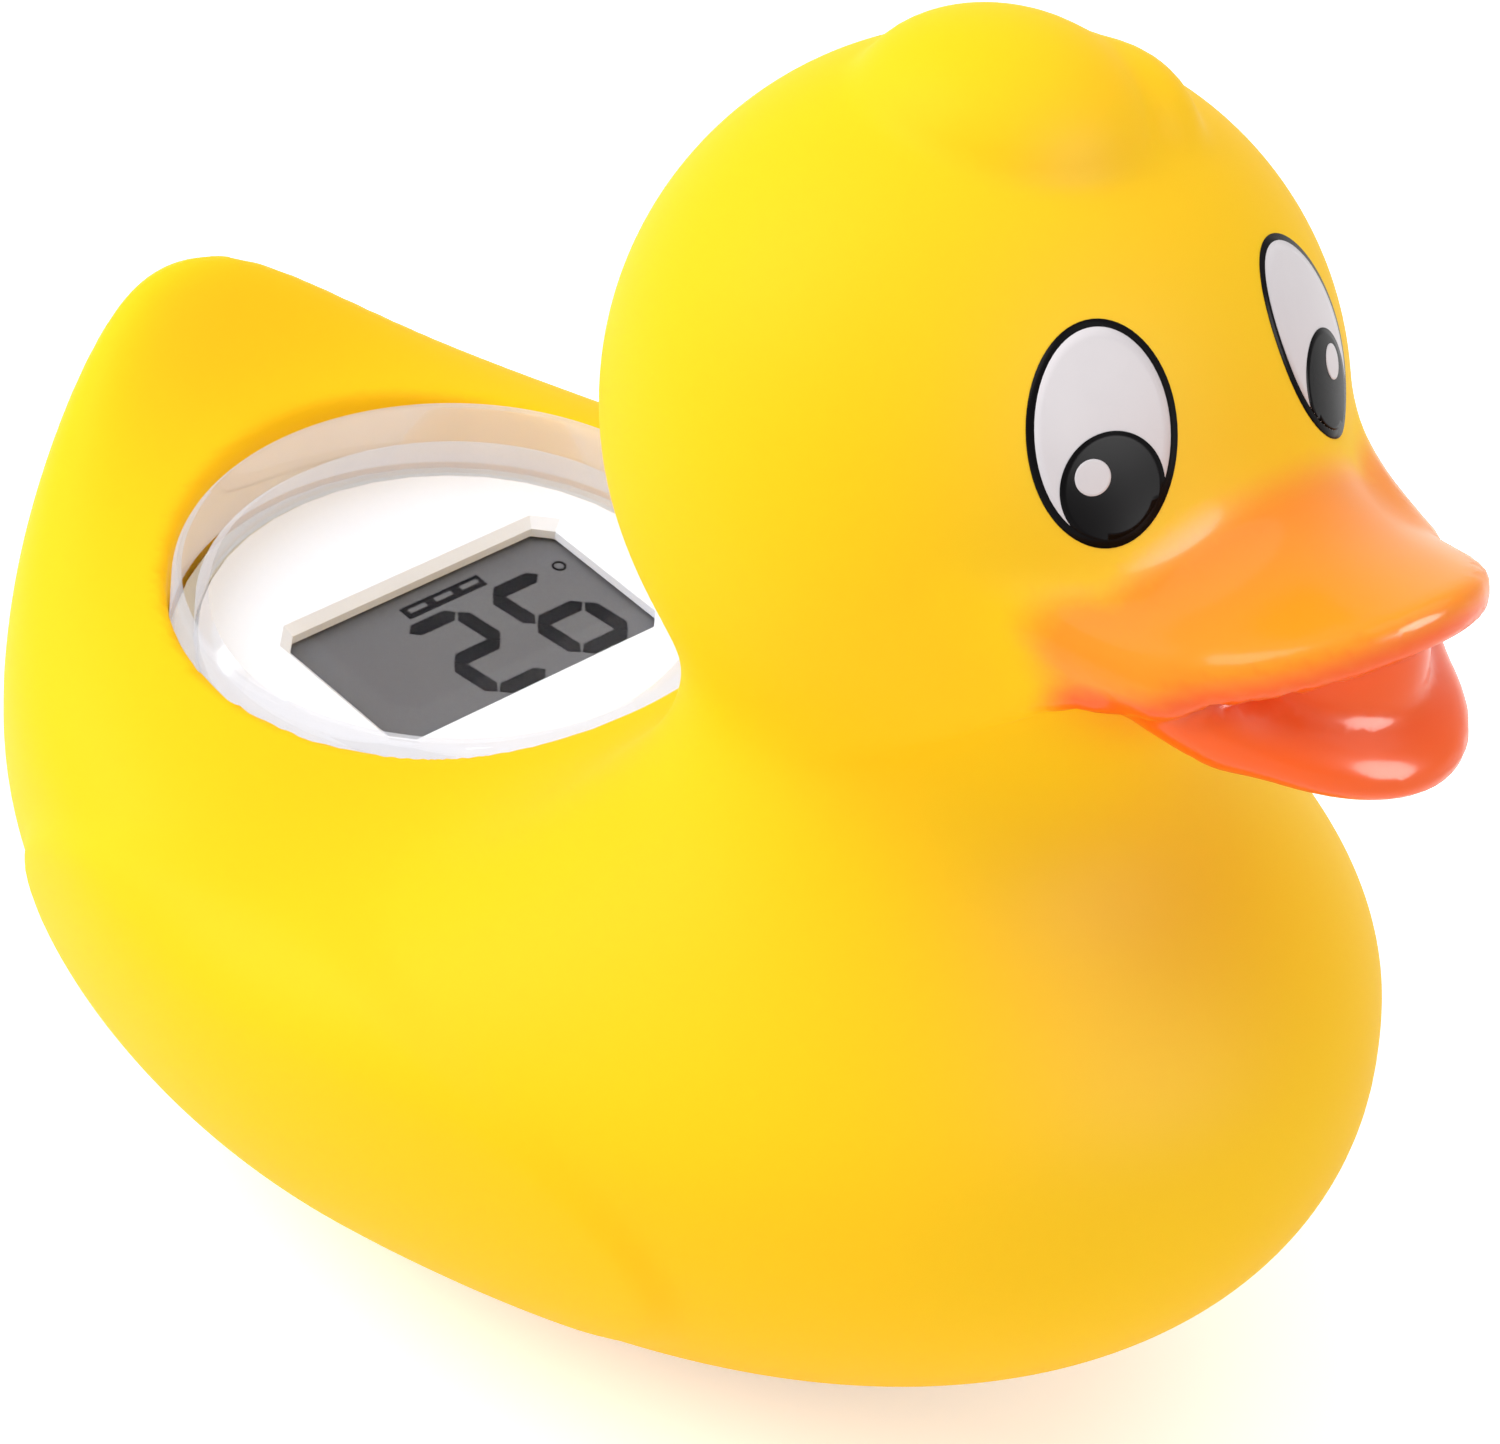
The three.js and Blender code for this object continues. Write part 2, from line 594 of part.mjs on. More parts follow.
// Skin: the outer form, hollowed, with a thick collar round the lens and a boss round the sensor
function duckSkin() {
  const top = HEAD_Z + HEAD_RADIUS + TUFT_RADII.z;
  const front = BILL_X + BILL_LENGTH + BODY_STEP;
  const rear = Math.min(TAIL_ROOT_X - TAIL_ROOT_RADIUS, TAIL_TIP_X - TAIL_TIP_RADIUS) - BODY_STEP;
  const side = Math.max(HULL_HALF_WIDTH, TAIL_ROOT_RADIUS, BREAST_HALF_WIDTH, HEAD_RADIUS) + 2 * BODY_STEP;
  const xs = gridLines(rear, front, BODY_STEP, FACE_START_X, front, FACE_STEP);
  const ys = gridLines(-side, side, BODY_STEP, -FACE_HALF_WIDTH, FACE_HALF_WIDTH, FACE_STEP);
  const zs = gridLines(-BODY_STEP, top, BODY_STEP, FACE_START_Z, top, FACE_STEP);
  const outside = solid(surfaceNet(skinField, xs, ys, zs));
  const coarse = (lo, hi) => gridLines(lo, hi, HOLLOW_STEP, hi, hi, HOLLOW_STEP);
  const hollowLines = [coarse(rear, front), coarse(-side, side), coarse(-BODY_STEP, top)];
  const inside = solid(surfaceNet(hollowField, ...hollowLines));
  const inModule = (shape) => solid(geometryOf(shape).applyMatrix4(displayModule.matrix));
  const above = HEAD_RADIUS;
  const collar = inModule(ovalSlab(FIT + COLLAR_WALL, lipBottom, above));
  const pocket = inModule(ovalSlab(FIT, lipTop, above));
  const mouth = inModule(ovalSlab(-LIP_REACH, lipBottom - LIP_THICKNESS, above));
  const boss = bar(SENSOR_X, 0, SOLE_BOSS_RADIUS, -SKIN_WALL, SOLE_BOSS_HEIGHT);
  const recess = bar(SENSOR_X, 0, PLUG_HEAD_RADIUS + FIT, -SKIN_WALL, PLUG_RECESS + PLUG_HEAD_HEIGHT + FIT);
  const hole = bar(SENSOR_X, 0, PLUG_SHANK_RADIUS + FIT, -SKIN_WALL, SOLE_BOSS_HEIGHT + SKIN_WALL);
  const hollow = inside.subtract(collar).subtract(boss);
  return outside.subtract(hollow).subtract(pocket).subtract(mouth).subtract(recess).subtract(hole);
}

const skin = place(duck, "duck_skin", duckSkin(), vinyl);

// Clear cap: its top stands a little proud of the skin and its skirt reaches down to the tray's flange
const capTop = LENS_PROUD;
const capUnder = capTop - LENS_TOP;
const capProfile = [
  [-LENS_WALL, capUnder],
  [-LENS_WALL, lensBottom],
  [0, lensBottom],
  [0, capTop - LENS_ROUND],
  [-LENS_ROUND / 3, capTop - LENS_ROUND / 3],
  [-LENS_ROUND, capTop],
];
place(displayModule, "lens_cover", ovalTurn(capProfile), clear);

const sealTop = lensBottom - FIT;
const sealBottom = sealTop - SEAL_THICKNESS;
const sealBore = ovalSlab(-LENS_WALL, sealBottom - OVERCUT, sealTop + OVERCUT);
const sealRing = ovalSlab(-FIT, sealBottom, sealTop).subtract(sealBore);
place(displayModule, "lens_seal", sealRing, gasket);

// Tray: a flange over the skin's lip, a wall through it and a bead below that grips it
const trayProfile = [
  [trayOut, trayBottom],
  [trayOut, lipBottom - FIT - BEAD_HEIGHT],
  [trayOut + BEAD_REACH, lipBottom - FIT - BEAD_HEIGHT / 2],
  [trayOut + BEAD_REACH, lipBottom - FIT],
  [trayOut, lipBottom - FIT],
  [trayOut, flangeBottom],
  [0, flangeBottom],
  [0, flangeTop],
];
const trayBore = ovalSlab(trayIn, trayBottom - OVERCUT, flangeTop + OVERCUT);
place(displayModule, "module_tray", solid(ovalTurn(trayProfile)).subtract(trayBore), whitePlastic);

// Face plate: bevelled window and four posts for the board
const plateBottom = flangeTop + FIT;
const plateTop = plateBottom + PLATE_THICKNESS;
const glassTop = plateBottom - FIT;
const glassBottom = glassTop - GLASS_THICKNESS;
const zebraTop = glassBottom - FIT;
const zebraBottom = zebraTop - ZEBRA_HEIGHT;
const boardTop = zebraBottom - FIT;
const boardBottom = boardTop - BOARD_THICKNESS;
const posts = [
  ["rear_right", POST_REAR_X, -POST_REAR_Y],
  ["rear_left", POST_REAR_X, POST_REAR_Y],
  ["front_right", POST_FRONT_X, -POST_FRONT_Y],
  ["front_left", POST_FRONT_X, POST_FRONT_Y],
];

// The window's bevel: a frustum between the window and a larger outline at the plate's top
function windowBevel() {
  const ring = (grow, z) => {
    const [a, b] = [WINDOW_LENGTH / 2 + grow, WINDOW_WIDTH / 2 + grow];
    const c = WINDOW_CORNER + grow / 2;
    const half = [[a, c - b], [a, b - c], [a - c, b], [c - a, b]];
    const outline = [...half, ...half.map(([x, y]) => [-x, -y])];
    return outline.map(([x, y]) => new THREE.Vector3(WINDOW_X + x, WINDOW_Y + y, z));
  };
  const rings = [ring(0, plateTop - WINDOW_BEVEL), ring(2 * WINDOW_BEVEL, plateTop + WINDOW_BEVEL)];
  const sides = rings[0].length;
  const points = rings.flat();
  const index = [];
  for (let s = 0; s < sides; s++) {
    const t = (s + 1) % sides;
    index.push(s, t, sides + t, s, sides + t, sides + s);
  }
  for (let s = 1; s + 1 < sides; s++) index.push(0, s + 1, s, sides, sides + s, sides + s + 1);
  return solid(new THREE.BufferGeometry().setFromPoints(points).setIndex(index));
}

function facePlate() {
  const blank = ovalSlab(-LENS_WALL - FIT, plateBottom, plateTop);
  const through = cutCornerPrism(
    WINDOW_X,
    WINDOW_Y,
    WINDOW_LENGTH,
    WINDOW_WIDTH,
    WINDOW_CORNER,
    plateBottom - PLATE_THICKNESS,
    plateTop + PLATE_THICKNESS,
  );
  let plate = blank.subtract(through).subtract(windowBevel());
  for (const [, x, y] of posts) {
    const post = bar(x, y, POST_RADIUS, boardTop + FIT, plateBottom + PLATE_THICKNESS / 2, SCREW_SIDES);
    const pilot = bar(x, y, SCREW_RADIUS + FIT / 2, boardTop - OVERCUT, plateBottom, SCREW_SIDES);
    plate = plate.add(post).subtract(pilot);
  }
  return plate;
}

place(displayModule, "face_plate", facePlate(), whitePlastic);

// Display glass and the rubber strips that join it to the board
const glassLength = WINDOW_LENGTH + 2 * GLASS_BORDER;
const glassWidth = WINDOW_WIDTH + 2 * GLASS_BORDER;
const glass = block(WINDOW_X, WINDOW_Y, glassLength, glassWidth, glassBottom, glassTop);
place(displayModule, "lcd_panel", glass, displayGlass);
const zebraOut = (glassLength - ZEBRA_WIDTH) / 2;
for (const [name, x] of [["zebra_rear", WINDOW_X - zebraOut], ["zebra_front", WINDOW_X + zebraOut]])
  place(displayModule, name, block(x, WINDOW_Y, ZEBRA_WIDTH, WINDOW_WIDTH, zebraBottom, zebraTop), zebraRubber);

function circuitBoard() {
  let board = ovalSlab(trayIn - BOARD_MARGIN, boardBottom, boardTop);
  const [low, high] = [boardBottom - OVERCUT, boardTop + OVERCUT];
  for (const [, x, y] of posts)
    board = board.subtract(bar(x, y, SCREW_RADIUS + FIT, low, high, SCREW_SIDES));
  return board;
}

place(displayModule, "circuit_board", circuitBoard(), boardGreen);
for (const [where, x, y] of posts)
  place(displayModule, "board_screw_" + where, screw(x, y, boardBottom - FIT), steel);
const chipTop = boardBottom - FIT;
const chipProfile = [
  [0, chipTop - CHIP_HEIGHT],
  [CHIP_DOME_RADIUS, chipTop - CHIP_DOME_HEIGHT],
  [CHIP_RADIUS, chipTop],
  [0, chipTop],
];
place(displayModule, "chip_blob", turned(chipProfile).translate(CHIP_X, 0, 0), epoxy);
const crystal = new THREE.CylinderGeometry(CRYSTAL_RADIUS, CRYSTAL_RADIUS, CRYSTAL_LENGTH, SCREW_SIDES);
place(displayModule, "crystal_can", crystal.translate(CRYSTAL_X, 0, chipTop - CRYSTAL_RADIUS), nickel);

// Rear housing: a tapered cup on a spigot under the tray, with two cell wells and a door in its floor
const housingTop = trayBottom - FIT;
const housingBottom = housingTop - HOUSING_HEIGHT;
const floorTop = housingBottom + HOUSING_FLOOR;
const doorTop = housingBottom + DOOR_THICKNESS;
const ledge = doorTop + FIT;
const bridgeTop = ledge + CONTACT_THICKNESS;
const cellBottom = bridgeTop + FIT;
const cellTop = cellBottom + CELL_HEIGHT;
const contactBottom = cellTop + FIT;
const contactTop = contactBottom + CONTACT_THICKNESS;
const wellRadius = CELL_RADIUS + CELL_PLAY;
const spigotOut = trayIn - FIT;
const spigotIn = spigotOut - SPIGOT_WALL;
const leads = [
  ["lead_right", -LEAD_SPACING / 2, redWire],
  ["lead_left", LEAD_SPACING / 2, blackWire],
];

// Both cells' circles as one upright solid
function cellPair(radius, low, high) {
  return bar(0, -CELL_Y, radius, low, high).add(bar(0, CELL_Y, radius, low, high));
}

// The door's outline: both cells with a ledge round them, the bar between and the screw's tab
function doorBlank(grow, low, high) {
  const pair = cellPair(wellRadius + DOOR_LEDGE + grow, low, high);
  const tab = bar(DOOR_SCREW_X, 0, DOOR_TAB_RADIUS + grow, low, high);
  const neck = block(DOOR_SCREW_X / 2, 0, DOOR_SCREW_X, 2 * (DOOR_TAB_RADIUS + grow), low, high);
  return pair.add(tab).add(neck);
}

function rearHousing() {
  const profile = [
    [trayOut - HOUSING_TAPER, housingBottom],
    [trayOut, housingTop],
    [spigotOut, housingTop],
    [spigotOut, trayBottom + SPIGOT_HEIGHT],
  ];
  const bore = ovalSlab(spigotIn, floorTop, trayBottom + SPIGOT_HEIGHT + OVERCUT);
  const wells = cellPair(wellRadius + WELL_WALL, floorTop - HOUSING_FLOOR / 2, cellTop);
  const bossTop = floorTop + DOOR_BOSS_HEIGHT;
  const boss = bar(DOOR_SCREW_X, 0, DOOR_TAB_RADIUS, floorTop - HOUSING_FLOOR / 2, bossTop);
  const pilot = bar(DOOR_SCREW_X, 0, SCREW_RADIUS + FIT / 2, housingBottom, bossTop + OVERCUT);
  let cup = solid(ovalTurn(profile)).subtract(bore).add(wells).add(boss).subtract(pilot);
  cup = cup.subtract(cellPair(wellRadius, housingBottom, cellTop + OVERCUT));
  cup = cup.subtract(doorBlank(FIT, housingBottom - OVERCUT, ledge));
  cup = cup.subtract(block(0, 0, CONTACT_WIDTH + 2 * FIT, 2 * CELL_Y, housingBottom, bridgeTop + FIT));
  const [low, high] = [housingBottom - OVERCUT, floorTop + OVERCUT];
  for (const [, y] of leads)
    cup = cup.subtract(bar(LEAD_X, y, LEAD_RADIUS + FIT, low, high, SCREW_SIDES));
  return cup;
}

place(displayModule, "rear_housing", rearHousing(), whitePlastic);

// Button cells with rounded edges
for (const [name, y] of [["battery_right", -CELL_Y], ["battery_left", CELL_Y]]) {
  const profile = [
    [0, cellBottom],
    [CELL_RADIUS - CELL_EDGE, cellBottom],
    [CELL_RADIUS, cellBottom + CELL_EDGE],
    [CELL_RADIUS, cellTop - CELL_EDGE],
    [CELL_RADIUS - CELL_EDGE, cellTop],
    [0, cellTop],
  ];
  place(displayModule, name, turned(profile).translate(0, y, 0), nickel);
}

// Spring contacts: a strip across each well's rim and a leg up to the board; a bridge under both cells
const stripLength = 2 * (wellRadius + WELL_WALL);
for (const [name, y] of [["contact_positive", -CELL_Y], ["contact_negative", CELL_Y]]) {
  const strip = block(0, y, stripLength, CONTACT_WIDTH, contactBottom, contactTop);
  const legX = (CONTACT_THICKNESS - stripLength) / 2;
  const leg = block(legX, y, CONTACT_THICKNESS, CONTACT_WIDTH / 2, contactBottom, boardBottom - FIT);
  place(displayModule, name, strip.add(leg), nickel);
}
const bridgeWidth = 2 * (CELL_Y + CONTACT_WIDTH);
place(displayModule, "contact_bridge", block(0, 0, CONTACT_WIDTH, bridgeWidth, ledge, bridgeTop), nickel);

// Battery door: flush with the housing's floor, held by one screw through its tab
const doorScrewSeat = housingBottom + SCREW_HEAD_HEIGHT;
const doorUnder = housingBottom - OVERCUT;
const doorHole = bar(DOOR_SCREW_X, 0, SCREW_RADIUS + FIT, doorUnder, doorTop + OVERCUT, SCREW_SIDES);
const sinkRadius = SCREW_HEAD_RADIUS + FIT;
const doorSink = bar(DOOR_SCREW_X, 0, sinkRadius, doorUnder, doorScrewSeat + FIT, SCREW_SIDES);
const door = doorBlank(0, housingBottom, doorTop).subtract(doorHole).subtract(doorSink);
place(displayModule, "battery_door", door, whitePlastic);
place(displayModule, "door_screw", screw(DOOR_SCREW_X, 0, doorScrewSeat), steel);

// Water sensor: a barbed plug in the sole, a steel thimble in its bore and a bead in the thimble
const plugBottom = PLUG_RECESS;
const plugShoulder = plugBottom + PLUG_HEAD_HEIGHT;
const barbBottom = SOLE_BOSS_HEIGHT + FIT;
const plugTop = barbBottom + PLUG_BARB_HEIGHT;
const plugBore = CAP_RADIUS + FIT;
const plugProfile = [
  [plugBore, plugBottom],
  [PLUG_HEAD_RADIUS, plugBottom],
  [PLUG_HEAD_RADIUS, plugShoulder],
  [PLUG_SHANK_RADIUS, plugShoulder],
  [PLUG_SHANK_RADIUS, barbBottom],
  [PLUG_SHANK_RADIUS + PLUG_BARB, barbBottom],
  [PLUG_SHANK_RADIUS, plugTop],
  [plugBore, plugTop],
  [plugBore, plugBottom],
];
place(duck, "sensor_plug", turned(plugProfile).translate(SENSOR_X, 0, 0), whitePlastic);
const capFloor = plugBottom + CAP_WALL;
const thimbleProfile = [
  [0, plugBottom],
  [CAP_RADIUS - CAP_WALL, plugBottom],
  [CAP_RADIUS, capFloor],
  [CAP_RADIUS, plugBottom + CAP_LENGTH],
  [CAP_RADIUS - CAP_WALL, plugBottom + CAP_LENGTH],
  [CAP_RADIUS - CAP_WALL, capFloor],
  [0, capFloor],
];
place(duck, "sensor_cap", turned(thimbleProfile).translate(SENSOR_X, 0, 0), steel);
const beadZ = capFloor + FIT + THERMISTOR_RADIUS;
const bead = new THREE.SphereGeometry(THERMISTOR_RADIUS, SCREW_SIDES, SCREW_SIDES / 2);
place(duck, "thermistor", bead.translate(SENSOR_X, 0, beadZ), beadBlack);

// Leads from the bead up through the housing's floor to the board
for (const [name, y, colour] of leads) {
  const inModule = (z) => new THREE.Vector3(LEAD_X, y, z).applyMatrix4(displayModule.matrix);
  const path = new THREE.CatmullRomCurve3([
    new THREE.Vector3(SENSOR_X, y, beadZ + THERMISTOR_RADIUS + FIT),
    new THREE.Vector3(SENSOR_X, y, plugTop),
    new THREE.Vector3(SENSOR_X, y, plugTop + LEAD_SLACK / 2),
    inModule(housingBottom - LEAD_SLACK),
    inModule(housingBottom - LEAD_SLACK / 2),
    inModule(floorTop),
    inModule(boardBottom - FIT),
  ]);
  const section = new THREE.Shape().absarc(0, 0, LEAD_RADIUS, 0, 2 * Math.PI);
  const run = { steps: LEAD_STEPS, extrudePath: path, curveSegments: SCREW_SIDES / 2 };
  place(duck, name, new THREE.ExtrudeGeometry(section, run), colour);
}

// The origin is under the middle of the skin's box, on the ground that the sole stands on
const box = new THREE.Box3().setFromObject(skin);
duck.position.set(-(box.min.x + box.max.x) / 2, -(box.min.y + box.max.y) / 2, -box.min.z);

export default duck;
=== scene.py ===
import math

import bpy
import numpy as np
from mathutils import Matrix, Vector


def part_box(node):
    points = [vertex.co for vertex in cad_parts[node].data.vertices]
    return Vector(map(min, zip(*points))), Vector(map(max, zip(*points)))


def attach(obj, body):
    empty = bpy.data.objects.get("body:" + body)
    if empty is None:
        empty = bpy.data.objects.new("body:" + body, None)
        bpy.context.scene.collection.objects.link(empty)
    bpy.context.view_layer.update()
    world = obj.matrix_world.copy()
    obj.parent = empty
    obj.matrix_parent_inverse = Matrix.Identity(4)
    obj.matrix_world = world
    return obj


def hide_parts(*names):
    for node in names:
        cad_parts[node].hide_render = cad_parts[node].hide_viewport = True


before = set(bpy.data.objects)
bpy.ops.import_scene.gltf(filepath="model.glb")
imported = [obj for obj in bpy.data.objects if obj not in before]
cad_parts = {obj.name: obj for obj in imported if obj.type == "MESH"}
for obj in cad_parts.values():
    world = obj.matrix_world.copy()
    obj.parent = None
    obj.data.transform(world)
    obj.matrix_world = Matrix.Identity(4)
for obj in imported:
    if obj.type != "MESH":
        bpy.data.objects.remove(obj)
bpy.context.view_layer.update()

# Duck skin: one hollow piece of soft yellow vinyl, rotation-moulded and trimmed at the opening in its back.
# Its wall is about two millimetres thick, and the bill and chin are sprayed orange by hand.
# Sizes are millimetres in the duck's own frame, in which the sensor's axis lies at SENSOR_X.
SENSOR_X, SENSOR_RECESS = -18.0, 0.5
cap_low, cap_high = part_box("sensor_cap")
to_frame = np.array([(cap_low.x + cap_high.x) * 500 - SENSOR_X, (cap_low.y + cap_high.y) * 500,
                     cap_low.z * 1000 - SENSOR_RECESS])
HEAD, HEAD_RADIUS = np.array([25.7, 0, 76.7]), 23.3
NECK, NECK_RADII = np.array([25.3, 0, 39.5]), (18.0, 16.5)
HULL, HULL_HALF_WIDTH = np.array([-3.5, 0, 31.1]), 36.1
HULL_LENGTHS, HULL_HEIGHTS = (48.6, 37.2), (13.7, 31.9)
BREAST, BREAST_RADII = np.array([21.6, 0, 32.4]), np.array([32.6, 26.6, 23.0])
TAIL_ROOT, TAIL_TIP, TAIL_RADII = np.array([-33.6, 0, 28.1]), np.array([-44.3, 0, 53.0]), (26.6, 15.6)
NECK_HEAD_BLEND, NECK_BODY_BLEND, BREAST_BLEND, TAIL_BLEND = 9.0, 13.0, 20.0, 41.8
LENS, LENS_TILT = np.array([-25.6, 0, 42.2]), math.radians(10)
TAIL_FACE, TAIL_FACE_LEAN, TAIL_FACE_BLEND = np.array([-49.0, 0, 46.0]), math.radians(32), 14.0
SHOULDER, SHOULDER_SLOPE, SHOULDER_BLEND = np.array([-4.0, 0, 39.0]), math.radians(40), 10.0
BACK_EDGE, SOLE_EDGE, SKIN_WALL = 16.0, 1.0, 2.2
BILL_X, BILL_LENGTH, BILL_HALF_WIDTH, BILL_Z = 40.5, 24.2, 13.6, 78.0
BILL_CROWN, BILL_THICKNESS, BILL_EDGE, BILL_ROOT_BLEND = 4.8, 3.2, 2.0, 9.0
UPTURN_X, UPTURN_LENGTH, UPTURN = 52.0, 12.0, 1.6
JAW, JAW_RADII = np.array([46.9, 0, 70.9]), np.array([18.0, 10.5, 4.4])
JAW_DROOP, JAW_ROOT_BLEND = math.radians(12), 2.0
MOUTH_DEPTH, MOUTH_EDGE, LIP_BLEND = 3.0, 2.0, 3.5
UPPER_LIP = (np.array([41.2, 15.6, 76.2]), np.array([52.0, 11.0, 72.8]), 0.6, 1.6)
LOWER_LIP = (np.array([42.2, 14.8, 73.8]), np.array([54.0, 7.4, 69.6]), 0.5, 2.2)
TUFT, TUFT_RADII = np.array([27.6, -0.4, 96.6]), np.array([10.0, 8.4, 6.6])
TUFT_SIDE, TUFT_SIDE_RADII = np.array([30.4, 5.8, 95.4]), np.array([6.8, 4.6, 5.2])
TUFT_FOLD, TUFT_BLEND = 1.4, 1.2
WING_X, WING_Z, WING_LENGTHS, WING_HEIGHTS = -4.0, 23.0, (32.0, 34.0), (15.0, 16.0)
WING_RELIEF, WING_EDGE, WING_SIDE, WING_LOW = 0.7, 2.5, (12.0, 22.0), (6.0, 18.0)
OVAL_HALF_LENGTH, OVAL_HALF_WIDTH, FIT = 19.6, 21.3, 0.3
LIP_TOP, LIP_BOTTOM, LIP_REACH, COLLAR_WALL = -8.6, -11.1, 2.0, 3.0
RIM_ROUND = 1.2
SOLE_BOSS_RADIUS, SOLE_BOSS_HEIGHT, PLUG_RADIUS, PLUG_TOP, SHANK_RADIUS = 11.0, 5.5, 7.0, 2.1, 4.0


def blend_min(a, b, k):
    h = np.maximum(k - np.abs(a - b), 0) / k
    return np.minimum(a, b) - h ** 3 * k / 6


def blend_max(a, b, k):
    return -blend_min(-a, -b, k)


def ramp(t):
    s = np.clip(t, 0, 1)
    return s * s * (3 - 2 * s)


def ellipsoid(d, radii):
    k0 = np.linalg.norm(d / radii, axis=-1)
    k1 = np.linalg.norm(d / radii ** 2, axis=-1)
    return k0 * (k0 - 1) / np.maximum(k1, 1e-9)


def round_cone(p, a, b, ra, rb):
    axis = b - a
    l2, dr = axis @ axis, ra - rb
    a2 = l2 - dr * dr
    pa = p - a
    along = pa @ axis
    beyond = along - l2
    x2 = ((pa * l2 - along[:, None] * axis) ** 2).sum(-1)
    y2, z2 = along ** 2 * l2, beyond ** 2 * l2
    k = np.sign(dr) * dr * dr * x2
    side = (np.sqrt(x2 * a2 / l2) + along * dr) / l2 - ra
    low = np.where(np.sign(along) * a2 * y2 < k, np.sqrt(x2 + y2) / l2 - ra, side)
    return np.where(np.sign(beyond) * a2 * z2 > k, np.sqrt(x2 + z2) / l2 - rb, low)


def two_sided(d, ahead, behind):
    return np.where(d > 0, ahead, behind)


def trunk(p):
    h = p - HULL
    radii = np.stack([two_sided(h[:, 0], *HULL_LENGTHS), np.full(len(p), HULL_HALF_WIDTH),
                      two_sided(h[:, 2], *HULL_HEIGHTS)], -1)
    body = blend_min(ellipsoid(h, radii), ellipsoid(p - BREAST, BREAST_RADII), BREAST_BLEND)
    body = blend_min(body, round_cone(p, TAIL_ROOT, TAIL_TIP, *TAIL_RADII), TAIL_BLEND)
    flat = (p - LENS) @ [math.sin(LENS_TILT), 0, math.cos(LENS_TILT)]
    face = (p - TAIL_FACE) @ [math.cos(TAIL_FACE_LEAN), 0, math.sin(TAIL_FACE_LEAN)]
    shoulder = (p - SHOULDER) @ [-math.sin(SHOULDER_SLOPE), 0, math.cos(SHOULDER_SLOPE)]
    back = blend_min(blend_min(flat, face, TAIL_FACE_BLEND), shoulder, SHOULDER_BLEND)
    neck = round_cone(p, NECK, HEAD, *NECK_RADII)
    head = blend_min(np.linalg.norm(p - HEAD, axis=-1) - HEAD_RADIUS, neck, NECK_HEAD_BLEND)
    return blend_min(blend_max(body, back, BACK_EDGE), head, NECK_BODY_BLEND)


def bill_top(p):
    tip = np.maximum(p[:, 0] - UPTURN_X, 0) / UPTURN_LENGTH
    return BILL_Z - BILL_CROWN * (p[:, 1] / BILL_HALF_WIDTH) ** 2 + UPTURN * tip ** 2


def upper_bill(p):
    flat = np.stack([p[:, 0] - BILL_X, p[:, 1], np.zeros(len(p))], -1)
    outline = ellipsoid(flat, np.array([BILL_LENGTH, BILL_HALF_WIDTH, 1]))
    slab = np.abs(p[:, 2] - bill_top(p) + BILL_THICKNESS / 2) - BILL_THICKNESS / 2
    return blend_max(outline, slab, BILL_EDGE)


def lower_bill(p):
    d = p - JAW
    along = d[:, 0] * math.cos(JAW_DROOP) - d[:, 2] * math.sin(JAW_DROOP)
    up = d[:, 2] * math.cos(JAW_DROOP) + d[:, 0] * math.sin(JAW_DROOP)
    spoon = ellipsoid(np.stack([along, d[:, 1], up], -1), JAW_RADII)
    flat = np.stack([d[:, 0], d[:, 1], np.zeros(len(p))], -1)
    outline = ellipsoid(flat, np.array([JAW_RADII[0] - MOUTH_DEPTH, JAW_RADII[1] - MOUTH_DEPTH, 1]))
    gap = np.maximum(bill_top(p) - BILL_THICKNESS - JAW[2], 0) / 2
    return blend_min(spoon, blend_max(outline, np.abs(d[:, 2] - gap) - gap, MOUTH_EDGE), MOUTH_EDGE)


def lips(p):
    side = p * [1, 0, 1] + np.abs(p) * [0, 1, 0]
    return np.minimum(round_cone(side, *UPPER_LIP), round_cone(side, *LOWER_LIP))


def tuft(p):
    return blend_min(ellipsoid(p - TUFT, TUFT_RADII), ellipsoid(p - TUFT_SIDE, TUFT_SIDE_RADII), TUFT_FOLD)


def wing_relief(p):
    x, z = p[:, 0] - WING_X, p[:, 2] - WING_Z
    radii = np.stack([two_sided(x, *WING_LENGTHS), np.ones(len(p)), two_sided(z, *WING_HEIGHTS)], -1)
    outside = ellipsoid(np.stack([x, 0 * x, z], -1), radii)
    side = ramp((np.abs(p[:, 1]) - WING_SIDE[0]) / (WING_SIDE[1] - WING_SIDE[0]))
    low = ramp((p[:, 2] - WING_LOW[0]) / (WING_LOW[1] - WING_LOW[0]))
    return WING_RELIEF * ramp(0.5 - outside / WING_EDGE) * side * low


def outside(p):
    d = blend_min(trunk(p), upper_bill(p), BILL_ROOT_BLEND)
    d = blend_min(d, lower_bill(p), JAW_ROOT_BLEND)
    d = blend_min(d, lips(p), LIP_BLEND)
    d = blend_min(d, tuft(p), TUFT_BLEND)
    return blend_max(d - wing_relief(p), -p[:, 2], SOLE_EDGE)


# Coordinates of the display module: along the lens's length, across it and out of it
module_axes = np.array([[math.cos(LENS_TILT), 0, -math.sin(LENS_TILT)], [0, 1, 0],
                        [math.sin(LENS_TILT), 0, math.cos(LENS_TILT)]])


def oval(m, offset):
    flat = m * [1, 1, 0]
    return ellipsoid(flat, np.array([OVAL_HALF_LENGTH + offset, OVAL_HALF_WIDTH + offset, 1]))


def sole_bar(p, radius, top):
    return np.maximum(np.hypot(p[:, 0] - SENSOR_X, p[:, 1]) - radius, p[:, 2] - top)


